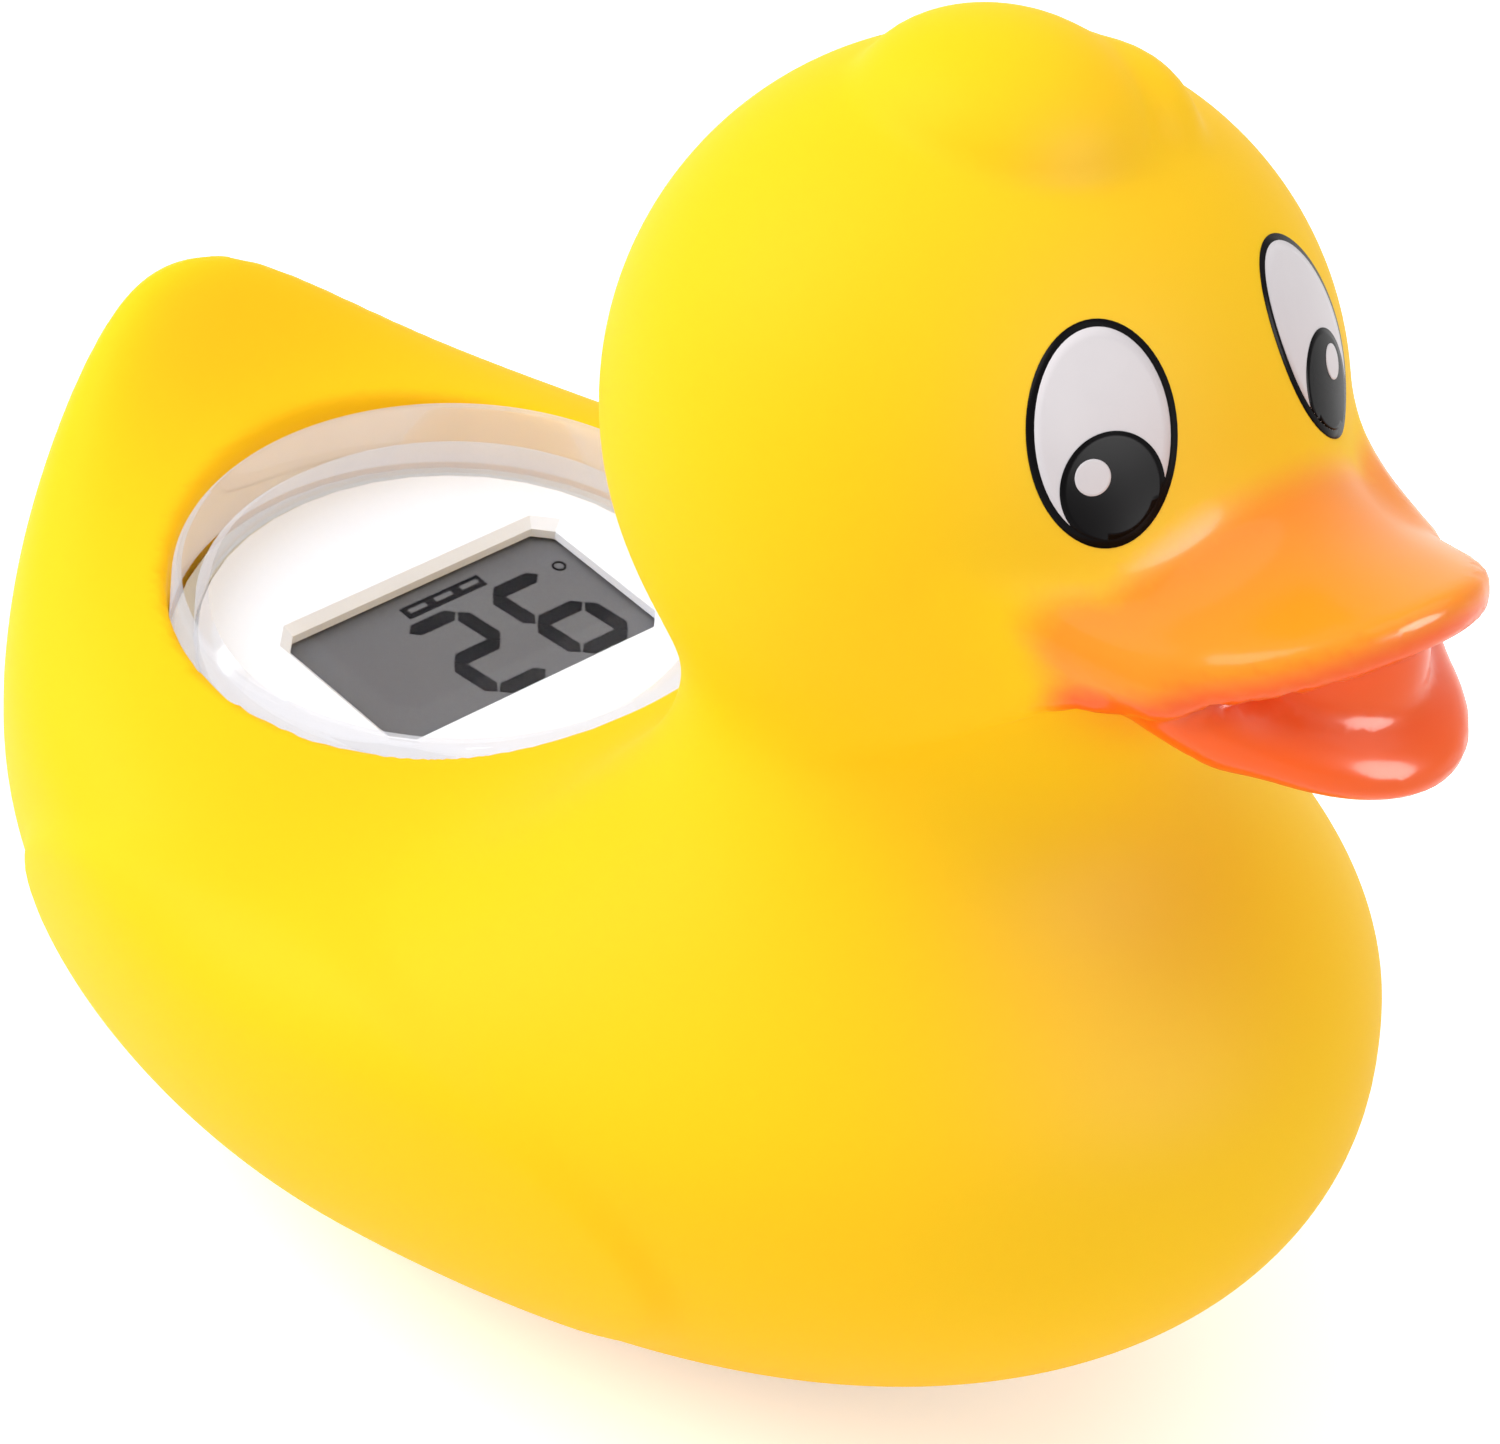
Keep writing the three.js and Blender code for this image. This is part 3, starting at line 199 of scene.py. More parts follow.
def skin(p):
    m = (p - LENS) @ module_axes.T
    hollow = blend_max(trunk(p) + SKIN_WALL, SKIN_WALL - p[:, 2], SOLE_EDGE)
    hollow = np.maximum(hollow, -np.maximum(oval(m, FIT + COLLAR_WALL), LIP_BOTTOM - m[:, 2]))
    hollow = np.maximum(hollow, -sole_bar(p, SOLE_BOSS_RADIUS, SOLE_BOSS_HEIGHT))
    pocket = np.maximum(oval(m, FIT), LIP_TOP - m[:, 2])
    mouth = np.maximum(oval(m, -LIP_REACH), LIP_BOTTOM - LIP_REACH - m[:, 2])
    d = blend_max(outside(p), -pocket, RIM_ROUND)
    d = np.maximum(np.maximum(d, -mouth), -hollow)
    return np.maximum(np.maximum(d, -sole_bar(p, PLUG_RADIUS + FIT, PLUG_TOP + FIT)),
                      -sole_bar(p, SHANK_RADIUS + FIT, SOLE_BOSS_HEIGHT + SKIN_WALL))


def lines(*stretches):
    """Grid lines through stretches of (from, to, step)."""
    runs = [np.linspace(a, b, max(round((b - a) / step), 1), endpoint=False) for a, b, step in stretches]
    return np.concatenate(runs + [[stretches[-1][1]]])


def slope(field, p, nudge=0.02):
    steps = nudge * np.eye(3)
    return np.stack([field(p + s) - field(p - s) for s in steps], -1) / (2 * nudge)


def onto(field, p, level=0.0, rounds=1):
    for _ in range(rounds):
        g = slope(field, p)
        p = p - ((field(p) - level) / np.maximum((g * g).sum(-1), 0.25))[:, None] * g
    return p


def surface_net(field, xs, ys, zs, rounds):
    """Closed surface of field = 0: a vertex in each grid cell and a quad across each grid edge it crosses."""
    grid = np.stack(np.meshgrid(xs, ys, zs, indexing="ij"), -1)
    value = field(grid.reshape(-1, 3)).reshape(grid.shape[:3])
    inside = value < 0
    cells = tuple(n - 1 for n in value.shape)
    total, hits = np.zeros(cells + (3,)), np.zeros(cells)
    crossed = []
    for axis in range(3):
        u, w = (axis + 1) % 3, (axis + 2) % 3
        low, high = [slice(None)] * 3, [slice(None)] * 3
        low[axis], high[axis] = slice(None, -1), slice(1, None)
        low, high = tuple(low), tuple(high)
        cross = inside[low] != inside[high]
        share = np.where(cross, value[low] / np.where(cross, value[low] - value[high], 1), 0)
        point = (grid[low] + share[..., None] * (grid[high] - grid[low])) * cross[..., None]
        for m in (0, 1):
            for n in (0, 1):
                pick = [slice(None)] * 3
                pick[u], pick[w] = slice(m, m + cells[u]), slice(n, n + cells[w])
                total += point[tuple(pick)]
                hits += cross[tuple(pick)]
        crossed.append(np.argwhere(cross))
    active = hits > 0
    number = np.full(cells, -1)
    number[active] = np.arange(active.sum())
    vertices = total[active] / hits[active][:, None]
    quads = []
    for axis, edges in enumerate(crossed):
        u, w = np.eye(3, dtype=int)[(axis + 1) % 3], np.eye(3, dtype=int)[(axis + 2) % 3]
        corners = ((0, 0), (1, 0), (1, 1), (0, 1))
        quad = np.stack([number[tuple((edges - m * u - n * w).T)] for m, n in corners], -1)
        turned = ~inside[tuple(edges.T)]
        quad[turned] = quad[turned][:, ::-1]
        quads.append(quad)
    quads = np.concatenate(quads)
    for _ in range(rounds):
        total, count = np.zeros_like(vertices), np.zeros(len(vertices))
        for n in range(4):
            for other in ((n + 1) % 4, (n + 3) % 4):
                np.add.at(total, quads[:, n], vertices[quads[:, other]])
                np.add.at(count, quads[:, n], 1)
        vertices = onto(field, (vertices + total / count[:, None]) / 2)
    return vertices, quads


def piece(name, points, faces, smooth=True):
    """A mesh object of points in millimetres in the duck's frame."""
    mesh = bpy.data.meshes.new(name)
    metres = (np.asarray(points) + to_frame) / 1000
    mesh.from_pydata(metres.tolist(), [], [list(map(int, f)) for f in faces])
    mesh.polygons.foreach_set("use_smooth", [smooth] * len(mesh.polygons))
    mesh.update()
    made = bpy.data.objects.new(name, mesh)
    bpy.context.scene.collection.objects.link(made)
    return made


class Wire:
    """A socket in a material's node tree. Sums and products of values add their Math nodes."""

    def __init__(self, tree, socket=None):
        self.tree, self.socket = tree, socket

    def node(self, kind, settings=None, inputs=None, out=0):
        made = self.tree.nodes.new(kind)
        for key, value in (settings or {}).items():
            if key == "stops":
                ramp_of = made.color_ramp
                while len(ramp_of.elements) < len(value):
                    ramp_of.elements.new(1)
                for element, (place, colour) in zip(ramp_of.elements, value):
                    element.position, element.color = place, colour
            else:
                setattr(made, key, value)
        for key, value in (inputs or {}).items():
            if isinstance(value, Wire):
                self.tree.links.new(value.socket, made.inputs[key])
            else:
                made.inputs[key].default_value = value
        return Wire(self.tree, made.outputs[out] if len(made.outputs) else None)

    def math(self, operation, a, b):
        return self.node("ShaderNodeMath", {"operation": operation}, {0: a, 1: b})

    def mix(self, factor, a, b):
        return self.node("ShaderNodeMix", {"data_type": "RGBA"}, {0: factor, 6: a, 7: b}, out=2)

    def noise(self, scale, detail=3.0):
        place = self.node("ShaderNodeTexCoord", out="Object")
        sockets = {"Vector": place, "Scale": scale, "Detail": detail}
        return self.node("ShaderNodeTexNoise", None, sockets, out="Fac")

    def attribute(self, name):
        return self.node("ShaderNodeAttribute", {"attribute_name": name}, out="Fac")

    def __add__(self, other):
        return self.math("ADD", self, other)

    __radd__ = __add__

    def __sub__(self, other):
        return self.math("SUBTRACT", self, other)

    def __rsub__(self, other):
        return self.math("SUBTRACT", other, self)

    def __mul__(self, other):
        return self.math("MULTIPLY", self, other)

    __rmul__ = __mul__


def shade(red, green, blue):
    """A display colour of 0 to 255 as a linear one."""
    parts = (red / 255, green / 255, blue / 255)
    return (*[c / 12.92 if c <= 0.04045 else ((c + 0.055) / 1.055) ** 2.4 for c in parts], 1.0)


def new_finish(name):
    made = bpy.data.materials.new(name)
    made.use_nodes = True
    made.node_tree.nodes.clear()
    return made, Wire(made.node_tree)


def close_finish(wire, shader):
    wire.node("ShaderNodeOutputMaterial", None, {"Surface": shader})


FINE, PLAIN, FACE = 0.75, 1.15, 0.85
skin_points, skin_quads = surface_net(
    skin,
    lines((-66, -48, PLAIN), (-48, -3, FINE), (-3, 38, PLAIN), (38, 68, FACE)),
    lines((-40, -23, PLAIN), (-23, 23, FINE), (23, 40, PLAIN)),
    lines((-2, 34, PLAIN), (34, 47, FINE), (47, 62, PLAIN), (62, 106, FACE)),
    rounds=3,
)
duck_skin = piece("duck_vinyl_skin", skin_points, skin_quads)

# The spray covers the bill, is thickest on its edges and fades over its root, the mouth's corners and the chin.
# Its deeper orange below the bill's top is partly painted shade, and the mouth's crease is painted shade.
BILL_FADE, CORNER_FADE, CORNER_PINCH = (1.0, 4.0), (41.0, 50.0), 4.0
CHIN_Z, CHIN_HALF_WIDTH, CHIN_DROP, CHIN_FADE = 75.0, 15.0, 15.0, (0.6, 1.15)
EDGE_DEPTH, UNDER_BILL, CREASE_SHADE_FADE = (-2.2, -0.4), (-3.0, 0.0), (0.4, 1.6)


def fade(values, ends):
    """One before the first of two values, none after the second."""
    return 1 - ramp((values - ends[0]) / (ends[1] - ends[0]))


at_x, at_y, at_z = skin_points.T
over_bill = at_z - bill_top(skin_points)
from_upper, from_lower = upper_bill(skin_points), lower_bill(skin_points)
from_bill = np.minimum(np.minimum(from_upper, from_lower), lips(skin_points))
from_bill = from_bill + CORNER_PINCH * fade(at_x, CORNER_FADE)
chin = np.hypot(at_y / CHIN_HALF_WIDTH, (at_z - CHIN_Z) / CHIN_DROP)
under_bill = fade(chin, CHIN_FADE) * fade(over_bill, UNDER_BILL) * (1 - fade(at_x, CORNER_FADE))
spray = np.maximum(fade(from_bill, BILL_FADE), under_bill)
# Deeper orange below the bill's top: thicker spray on the edges, and partly painted shade on the sides and the
# lower bill.
deep_spray_and_shade = fade(over_bill, EDGE_DEPTH)
# Painted shade: the mouth's crease between the upper and lower bill is darkened in the colour, where shade falls.
crease_shade = fade(np.maximum(from_upper, from_lower), CREASE_SHADE_FADE) * deep_spray_and_shade
for attribute, values in (("bill_spray", spray), ("bill_deep", deep_spray_and_shade), ("bill_crease", crease_shade)):
    layer = duck_skin.data.attributes.new(attribute, "FLOAT", "POINT")
    layer.data.foreach_set("value", values.astype(np.float32))

vinyl, wire = new_finish("yellow_vinyl")
YELLOW, YELLOW_WARM = shade(250, 199, 4), shade(250, 193, 2)
ORANGE, ORANGE_DEEP_AND_SHADE, ORANGE_CREASE_SHADE = shade(250, 142, 14), shade(246, 92, 0), shade(196, 50, 0)
yellow = wire.mix(wire.noise(35.0), YELLOW, YELLOW_WARM)
# The deeper orange is thicker spray, darkened partly as painted shade.
orange = wire.mix(wire.attribute("bill_deep"), ORANGE, ORANGE_DEEP_AND_SHADE)
# Painted shade: the mouth's crease is darkened to a dark orange.
orange = wire.mix(wire.attribute("bill_crease"), orange, ORANGE_CREASE_SHADE)
speckle = (wire.noise(2500.0) - 0.5) * 0.12
spray_edge = wire.attribute("bill_spray")
sprayed = wire.node("ShaderNodeMath", {"operation": "ADD", "use_clamp": True},
                    {0: spray_edge, 1: speckle * spray_edge * (1 - spray_edge) * 4})
surface = wire.node("ShaderNodeBsdfPrincipled", None, {
    "Base Color": wire.mix(sprayed, yellow, orange),
    "Roughness": 0.58 + wire.noise(60.0) * 0.06 - spray_edge * 0.22,
    "Coat Weight": spray_edge * 0.35,
    "Coat Roughness": 0.15,
    "Specular IOR Level": 0.15,
    "Subsurface Weight": 0.12,
    "Subsurface Radius": (1.0, 0.45, 0.1),
    "Subsurface Scale": 0.003,
})
close_finish(wire, surface)
duck_skin.data.materials.append(vinyl)
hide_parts("duck_skin")
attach(duck_skin, "root")

# Eyes: pad-printed on the head in gloss ink, coat on coat: a black oval, a white field, a black pupil and a glint.
# The two prints mirror each other, and each pupil runs into its outline at the bottom.
EYE = np.array([45.1, -9.1, 85.8])
EYE_TOP, EYE_BOTTOM = np.array([42.2, -7.2, 91.5]), np.array([46.6, -10.0, 79.1])
EYE_OUTER, EYE_INNER = np.array([42.5, -12.7, 86.8]), np.array([46.9, -4.7, 84.8])
EYE_HALF_WIDTH, EYE_HALF_HEIGHT, EYE_LINE = 4.75, 6.85, 0.52
PUPIL_ACROSS, PUPIL_UP, PUPIL_HALF_WIDTH, PUPIL_HALF_HEIGHT = 0.42, -3.35, 3.3, 3.45
GLINT_ACROSS, GLINT_UP, GLINT_RADIUS = -0.85, -2.5, 1.1
INK_STEP, INK_SUNK, PRINT_RINGS, PRINT_SIDES = 0.035, 0.12, 8, 72
eye_up = (EYE_TOP - EYE_BOTTOM) / np.linalg.norm(EYE_TOP - EYE_BOTTOM)
eye_across = EYE_INNER - EYE_OUTER
eye_across = eye_across - (eye_across @ eye_up) * eye_up
eye_across /= np.linalg.norm(eye_across)
MIRROR = np.array([1, -1, 1])


def ink(name, across, up, half_width, half_height, coat, mirrored, kept_in=None):
    """A thin oval coat of ink on the head, kept inside an oval of (half width, half height) if given."""
    turn = np.arange(PRINT_SIDES) * 2 * np.pi / PRINT_SIDES
    ring = np.stack([np.cos(turn) * half_width, np.sin(turn) * half_height], -1)
    flat = [np.array([[across, up]])]
    flat += [np.array([across, up]) + ring * (r / PRINT_RINGS) for r in range(1, PRINT_RINGS + 1)]
    flat = np.concatenate(flat)
    if kept_in:
        reach = np.linalg.norm(flat / kept_in, axis=-1)
        flat = flat / np.maximum(reach, 1)[:, None]
    laid = EYE + flat[:, :1] * eye_across + flat[:, 1:] * eye_up
    head = [onto(outside, laid, level, rounds=5) for level in (coat * INK_STEP, -INK_SUNK)]
    count = len(flat)
    faces = []
    for first, way in ((0, 1), (count, -1)):
        for s in range(PRINT_SIDES):
            t = (s + 1) % PRINT_SIDES
            faces.append([first, first + 1 + s, first + 1 + t][::way])
            for r in range(1, PRINT_RINGS):
                inside = first + 1 + (r - 1) * PRINT_SIDES
                outer = inside + PRINT_SIDES
                faces.append([inside + s, outer + s, outer + t, inside + t][::way])
    rim_at = 1 + (PRINT_RINGS - 1) * PRINT_SIDES
    for s in range(PRINT_SIDES):
        t = (s + 1) % PRINT_SIDES
        faces.append([rim_at + s, count + rim_at + s, count + rim_at + t, rim_at + t])
    points = np.concatenate(head)
    if mirrored:
        points, faces = points * MIRROR, [f[::-1] for f in faces]
    return piece(name, points, faces)


def ink_finish(name, colour, second):
    made, wire = new_finish(name)
    close_finish(wire, wire.node("ShaderNodeBsdfPrincipled", None, {
        "Base Color": wire.mix(wire.noise(300.0), colour, second),
        "Roughness": 0.24 + wire.noise(120.0) * 0.08,
        "Specular IOR Level": 0.05,
    }))
    return made


black_ink = ink_finish("black_ink", shade(6, 5, 6), shade(12, 10, 12))
white_ink = ink_finish("white_ink", shade(220, 214, 216), shade(212, 206, 209))
inner = (EYE_HALF_WIDTH - EYE_LINE, EYE_HALF_HEIGHT - EYE_LINE)
for side, mirrored in (("right", False), ("left", True)):
    coats = (
        ("outline", 0, 0, EYE_HALF_WIDTH, EYE_HALF_HEIGHT, None, black_ink),
        ("white", 0, 0, *inner, None, white_ink),
        ("pupil", PUPIL_ACROSS, PUPIL_UP, PUPIL_HALF_WIDTH, PUPIL_HALF_HEIGHT, inner, black_ink),
        ("glint", GLINT_ACROSS, GLINT_UP, GLINT_RADIUS, GLINT_RADIUS, None, white_ink),
    )
    for coat, (what, across, up, half_width, half_height, kept_in, finish) in enumerate(coats, 1):
        print_coat = ink(f"eye_{what}_{side}", across, up, half_width, half_height, coat, mirrored, kept_in)
        print_coat.data.materials.append(finish)
        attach(print_coat, "root")

# Lens: a clear cap moulded in polished acrylic, flush with the skin, whose skirt stands on the module's seal.
# It is pushed into the opening from above and cemented round the skirt. Its edges glow with painted light: a pale
# emission stands in for the light they gather.
LENS_PROUD, LENS_TOP, LENS_WALL, LENS_DEPTH, LENS_ROUND = 0.4, 2.0, 1.8, 5.6, 0.9
LENS_SIDES, ROUND_STEPS = 144, 6
FLAT_FACING, FLAT_CLEAR, EDGE_CLEAR, EDGE_PAINTED_GLOW = 0.94, 0.985, 0.7, 0.38


def in_duck(m):
    """Points in the module's coordinates as points in the duck's."""
    return LENS + np.asarray(m) @ module_axes


def oval_turn(name, profile, sides, smooth=True):
    """A profile of (offset from the lens's edge, height) turned about the lens's oval, closed on its axis."""
    turn = np.arange(sides) * 2 * np.pi / sides
    long, wide = np.cos(turn), np.sin(turn)
    rings = [np.stack([(OVAL_HALF_LENGTH + o) * long, (OVAL_HALF_WIDTH + o) * wide, np.full(sides, z)], -1)
             for o, z in profile]
    points = np.concatenate(rings + [[[0, 0, profile[0][1]], [0, 0, profile[-1][1]]]])
    first, last = len(points) - 2, len(points) - 1
    faces = []
    for s in range(sides):
        t = (s + 1) % sides
        faces.append([first, t, s])
        faces.append([last, (len(rings) - 1) * sides + s, (len(rings) - 1) * sides + t])
        for r in range(len(rings) - 1):
            faces.append([r * sides + s, r * sides + t, (r + 1) * sides + t, (r + 1) * sides + s])
    return piece(name, in_duck(points), faces, smooth)


arc = np.linspace(0, np.pi / 2, ROUND_STEPS + 1)
lens_under = LENS_PROUD - LENS_TOP
profile = [(-LENS_WALL - LENS_ROUND, lens_under), (-LENS_WALL, lens_under - LENS_ROUND)]
profile += [(-LENS_WALL, -LENS_DEPTH), (0, -LENS_DEPTH)]
profile += [(-LENS_ROUND * (1 - math.cos(a)), LENS_PROUD - LENS_ROUND * (1 - math.sin(a))) for a in arc]
lens = oval_turn("clear_lens", profile, LENS_SIDES)
lens.data.set_sharp_from_angle(angle=math.radians(35))
clear, wire = new_finish("clear_acrylic")
see_through = wire.node("ShaderNodeBsdfPrincipled", None, {
    "Base Color": wire.mix(wire.noise(80.0), (1.0, 1.0, 1.0, 1.0), (0.97, 0.97, 1.0, 1.0)),
    "Roughness": 0.02 + wire.noise(400.0) * 0.02,
    "IOR": 1.49,
    "Transmission Weight": 1.0,
})
face_normal = wire.node("ShaderNodeNewGeometry", out="True Normal")
facing = wire.node("ShaderNodeSeparateXYZ", None, {0: face_normal}, out="Z")
flat_part = wire.math("GREATER_THAN", facing * facing, FLAT_FACING)
shadow_ray = wire.node("ShaderNodeLightPath", out="Is Shadow Ray")
light_rays = shadow_ray + wire.node("ShaderNodeLightPath", out="Is Diffuse Ray")
clearness = wire.node("ShaderNodeMath", {"operation": "ADD", "use_clamp": True},
                      {0: light_rays, 1: flat_part * (FLAT_CLEAR - EDGE_CLEAR) + EDGE_CLEAR})
let_through = wire.node("ShaderNodeBsdfTransparent")
body = wire.node("ShaderNodeMixShader", None, {0: clearness, 1: see_through, 2: let_through})
# Painted light: away from the flat faces, a pale emission makes the lens's edges glow as if they gathered light.
painted_edge_glow = wire.node("ShaderNodeEmission", None, {
    "Color": wire.mix(wire.noise(200.0), (0.95, 0.95, 1.0, 1.0), (0.8, 0.8, 0.88, 1.0)), "Strength": 0.95})
painted_glow_share = wire.node("ShaderNodeMath", {"operation": "SUBTRACT", "use_clamp": True},
                 {0: EDGE_PAINTED_GLOW, 1: flat_part + light_rays})
close_finish(wire, wire.node("ShaderNodeMixShader", None, {0: painted_glow_share, 1: body, 2: painted_edge_glow}))
lens.data.materials.append(clear)
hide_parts("lens_cover")
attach(lens, "root")

# White mouldings: tray, face plate, rear housing, battery door and sensor plug, injection-moulded in plastic.
# The plate drops into the tray under the lens; the housing presses on below and the plug snaps into the sole.
def coat_nodes(finish, *names):
    for name in names:
        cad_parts[name].data.materials.clear()
        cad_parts[name].data.materials.append(finish)


def plain_finish(name, colour, second, scale, rough, rough_spread, metallic=0.0, bump=0.0, specular=0.5):
    made, wire = new_finish(name)
    inputs = {
        "Base Color": wire.mix(wire.noise(scale), colour, second),
        "Roughness": rough + wire.noise(scale * 2) * rough_spread,
        "Metallic": metallic,
        "Specular IOR Level": specular,
    }
    if bump:
        grain = {"Height": wire.noise(scale * 6), "Strength": bump, "Distance": 0.0001}
        inputs["Normal"] = wire.node("ShaderNodeBump", None, grain)
    close_finish(wire, wire.node("ShaderNodeBsdfPrincipled", None, inputs))
    return made


white_plastic = plain_finish("white_moulding", shade(240, 245, 255), shade(235, 240, 252), 250.0, 0.42, 0.1,
                             bump=0.05)
coat_nodes(white_plastic, "module_tray", "face_plate", "rear_housing", "battery_door", "sensor_plug")

# Rubbers: the lens's soft grey seal and the striped strips that carry the display's signals to the board.
# The seal is cut from sheet; each strip is layers of black and pale silicone pressed between glass and board.
seal_rubber = plain_finish("seal_rubber", shade(214, 214, 208), shade(200, 200, 195), 400.0, 0.65, 0.15,
                           bump=0.2)
coat_nodes(seal_rubber, "lens_seal")
STRIPE_SCALE = 500.0
zebra, wire = new_finish("striped_silicone")
strip_place = wire.node("ShaderNodeTexCoord", out="Object")
stripes = wire.node("ShaderNodeTexWave", {"bands_direction": "Y"}, {"Vector": strip_place, "Scale": STRIPE_SCALE},
                    out="Fac")
close_finish(wire, wire.node("ShaderNodeBsdfPrincipled", None, {
    "Base Color": wire.mix(stripes, shade(30, 30, 33), shade(176, 120, 120)),
    "Roughness": 0.6 + wire.noise(300.0) * 0.2,
}))
coat_nodes(zebra, "zebra_front", "zebra_rear")

# Display: two glass plates with liquid crystal between them and a grey reflector behind, under the plate's window.
# It reads across the duck, with the top of its figures towards the tail.
lcd_grey = plain_finish("display_glass", shade(104, 105, 109), shade(96, 97, 102), 60.0, 0.5, 0.06,
                        specular=0.1)
coat_nodes(lcd_grey, "lcd_panel")
GLASS_TOP = -7.0
SEGMENT_WIDTH, SEGMENT_THICKNESS, SEGMENT_GAP = 1.3, 0.06, 0.2
DIGIT_WIDTH, DIGIT_HEIGHT, DIGIT_PITCH, DIGIT_LEAN = 4.6, 8.8, 8.0, -0.14
FIRST_DIGIT, DIGIT_MIDDLE = 1.0, -1.7
SEGMENTS = {"a": (0, 1, 0), "b": (0.5, 0.5, 90), "c": (0.5, -0.5, 90), "d": (0, -1, 0), "e": (-0.5, -0.5, 90),
            "f": (-0.5, 0.5, 90), "g": (0, 0, 0)}
LIT = ("abged", "afgcde")
SHOWN_AT = GLASS_TOP + SEGMENT_THICKNESS / 2


def on_display(right, up):
    """A point on the glass, right along the reading direction and up towards the top of the figures."""
    return [-up, right, SHOWN_AT]


dark_crystal = plain_finish("dark_crystal", shade(10, 10, 14), shade(18, 18, 24), 500.0, 0.6, 0.08,
                            specular=0.05)
segment_tree = bpy.data.node_groups.new("display_segment", "GeometryNodeTree")
SEGMENT_SOCKETS = (
    ("Geometry", "NodeSocketGeometry", "INPUT"),
    ("Length", "NodeSocketFloat", "INPUT"),
    ("Width", "NodeSocketFloat", "INPUT"),
    ("Thickness", "NodeSocketFloat", "INPUT"),
    ("Finish", "NodeSocketMaterial", "INPUT"),
    ("Geometry", "NodeSocketGeometry", "OUTPUT"),
)
for socket_name, kind, way in SEGMENT_SOCKETS:
    segment_tree.interface.new_socket(socket_name, in_out=way, socket_type=kind)


def tree_node(kind, settings=None, inputs=None):
    made = segment_tree.nodes.new(kind)
    for key, value in (settings or {}).items():
        setattr(made, key, value)
    for key, value in (inputs or {}).items():
        if isinstance(value, bpy.types.NodeSocket):
            segment_tree.links.new(value, made.inputs[key])
        else:
            made.inputs[key].default_value = value
    return made


group_in = tree_node("NodeGroupInput").outputs
half_width = tree_node("ShaderNodeMath", {"operation": "MULTIPLY"}, {0: group_in["Width"], 1: 0.5})
straight = tree_node("ShaderNodeMath", {"operation": "SUBTRACT"}, {0: group_in["Length"], 1: group_in["Width"]})
lozenge = tree_node("GeometryNodeMeshCylinder", None,
                    {"Vertices": 4, "Radius": half_width.outputs[0], "Depth": group_in["Thickness"]})
run = tree_node("ShaderNodeCombineXYZ", None, {"X": straight.outputs[0]})
start_x = tree_node("ShaderNodeMath", {"operation": "MULTIPLY"}, {0: straight.outputs[0], 1: -0.5})
start = tree_node("ShaderNodeCombineXYZ", None, {"X": start_x.outputs[0]})
ends = tree_node("GeometryNodeMeshLine", None,
                 {"Count": 2, "Start Location": start.outputs[0], "Offset": run.outputs[0]})
both = tree_node("GeometryNodeInstanceOnPoints", None,
                 {"Points": ends.outputs[0], "Instance": lozenge.outputs["Mesh"]})
joined = tree_node("GeometryNodeRealizeInstances", None, {0: both.outputs[0]})
bar = tree_node("GeometryNodeConvexHull", None, {0: joined.outputs[0]})
turn = tree_node("GeometryNodeInputNamedAttribute", {"data_type": "FLOAT_VECTOR"}, {"Name": "turn"})
placed = tree_node("GeometryNodeInstanceOnPoints", None,
                   {"Points": group_in["Geometry"], "Instance": bar.outputs[0], "Rotation": turn.outputs[0]})
made_real = tree_node("GeometryNodeRealizeInstances", None, {0: placed.outputs[0]})
finished = tree_node("GeometryNodeSetMaterial", None,
                     {0: made_real.outputs[0], "Material": group_in["Finish"]})
tree_node("NodeGroupOutput", None, {0: finished.outputs[0]})


def lit_segments(name, length, wanted):
    """The lit bars of one length: wanted holds (right, up, quarter turned or not)."""
    mesh = bpy.data.meshes.new(name + "_places")
    mesh.from_pydata(((in_duck([on_display(r, u) for r, u, _ in wanted]) + to_frame) / 1000).tolist(), [], [])
    turns = mesh.attributes.new("turn", "FLOAT_VECTOR", "POINT")
    for at, (_, _, degrees) in zip(turns.data, wanted):
        spin = Matrix.Rotation(LENS_TILT, 4, "Y") @ Matrix.Rotation(math.radians(90 + degrees), 4, "Z")
        at.vector = Vector(spin.to_euler())
    holder = bpy.data.objects.new(name, mesh)
    bpy.context.scene.collection.objects.link(holder)
    modifier = holder.modifiers.new("segments", "NODES")
    modifier.node_group = segment_tree
    values = {"Length": length / 1000, "Width": SEGMENT_WIDTH / 1000, "Thickness": SEGMENT_THICKNESS / 1000,
              "Finish": dark_crystal}
    for item in segment_tree.interface.items_tree:
        if item.name in values:
            modifier[item.identifier] = values[item.name]
    bpy.context.view_layer.update()
    plain = bpy.data.meshes.new_from_object(holder.evaluated_get(bpy.context.evaluated_depsgraph_get()))
    holder.modifiers.remove(modifier)
    holder.data = plain
    return holder


across, upright = [], []
for number, lit in enumerate(LIT):
    for which in lit:
        right, up, degrees = SEGMENTS[which]
        rise = up * DIGIT_HEIGHT / 2
        place = FIRST_DIGIT + number * DIGIT_PITCH + right * DIGIT_WIDTH + rise * DIGIT_LEAN
        lean = degrees and degrees - math.degrees(math.atan(DIGIT_LEAN))
        (upright if degrees else across).append((place, DIGIT_MIDDLE + rise, lean))
across_length = DIGIT_WIDTH - SEGMENT_GAP
upright_length = DIGIT_HEIGHT / 2 * math.hypot(1, DIGIT_LEAN) - SEGMENT_GAP
for name, length, wanted in (("display_bars_across", across_length, across),
                             ("display_bars_upright", upright_length, upright)):
    bars = lit_segments(name, length, wanted)
    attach(bars, "root")

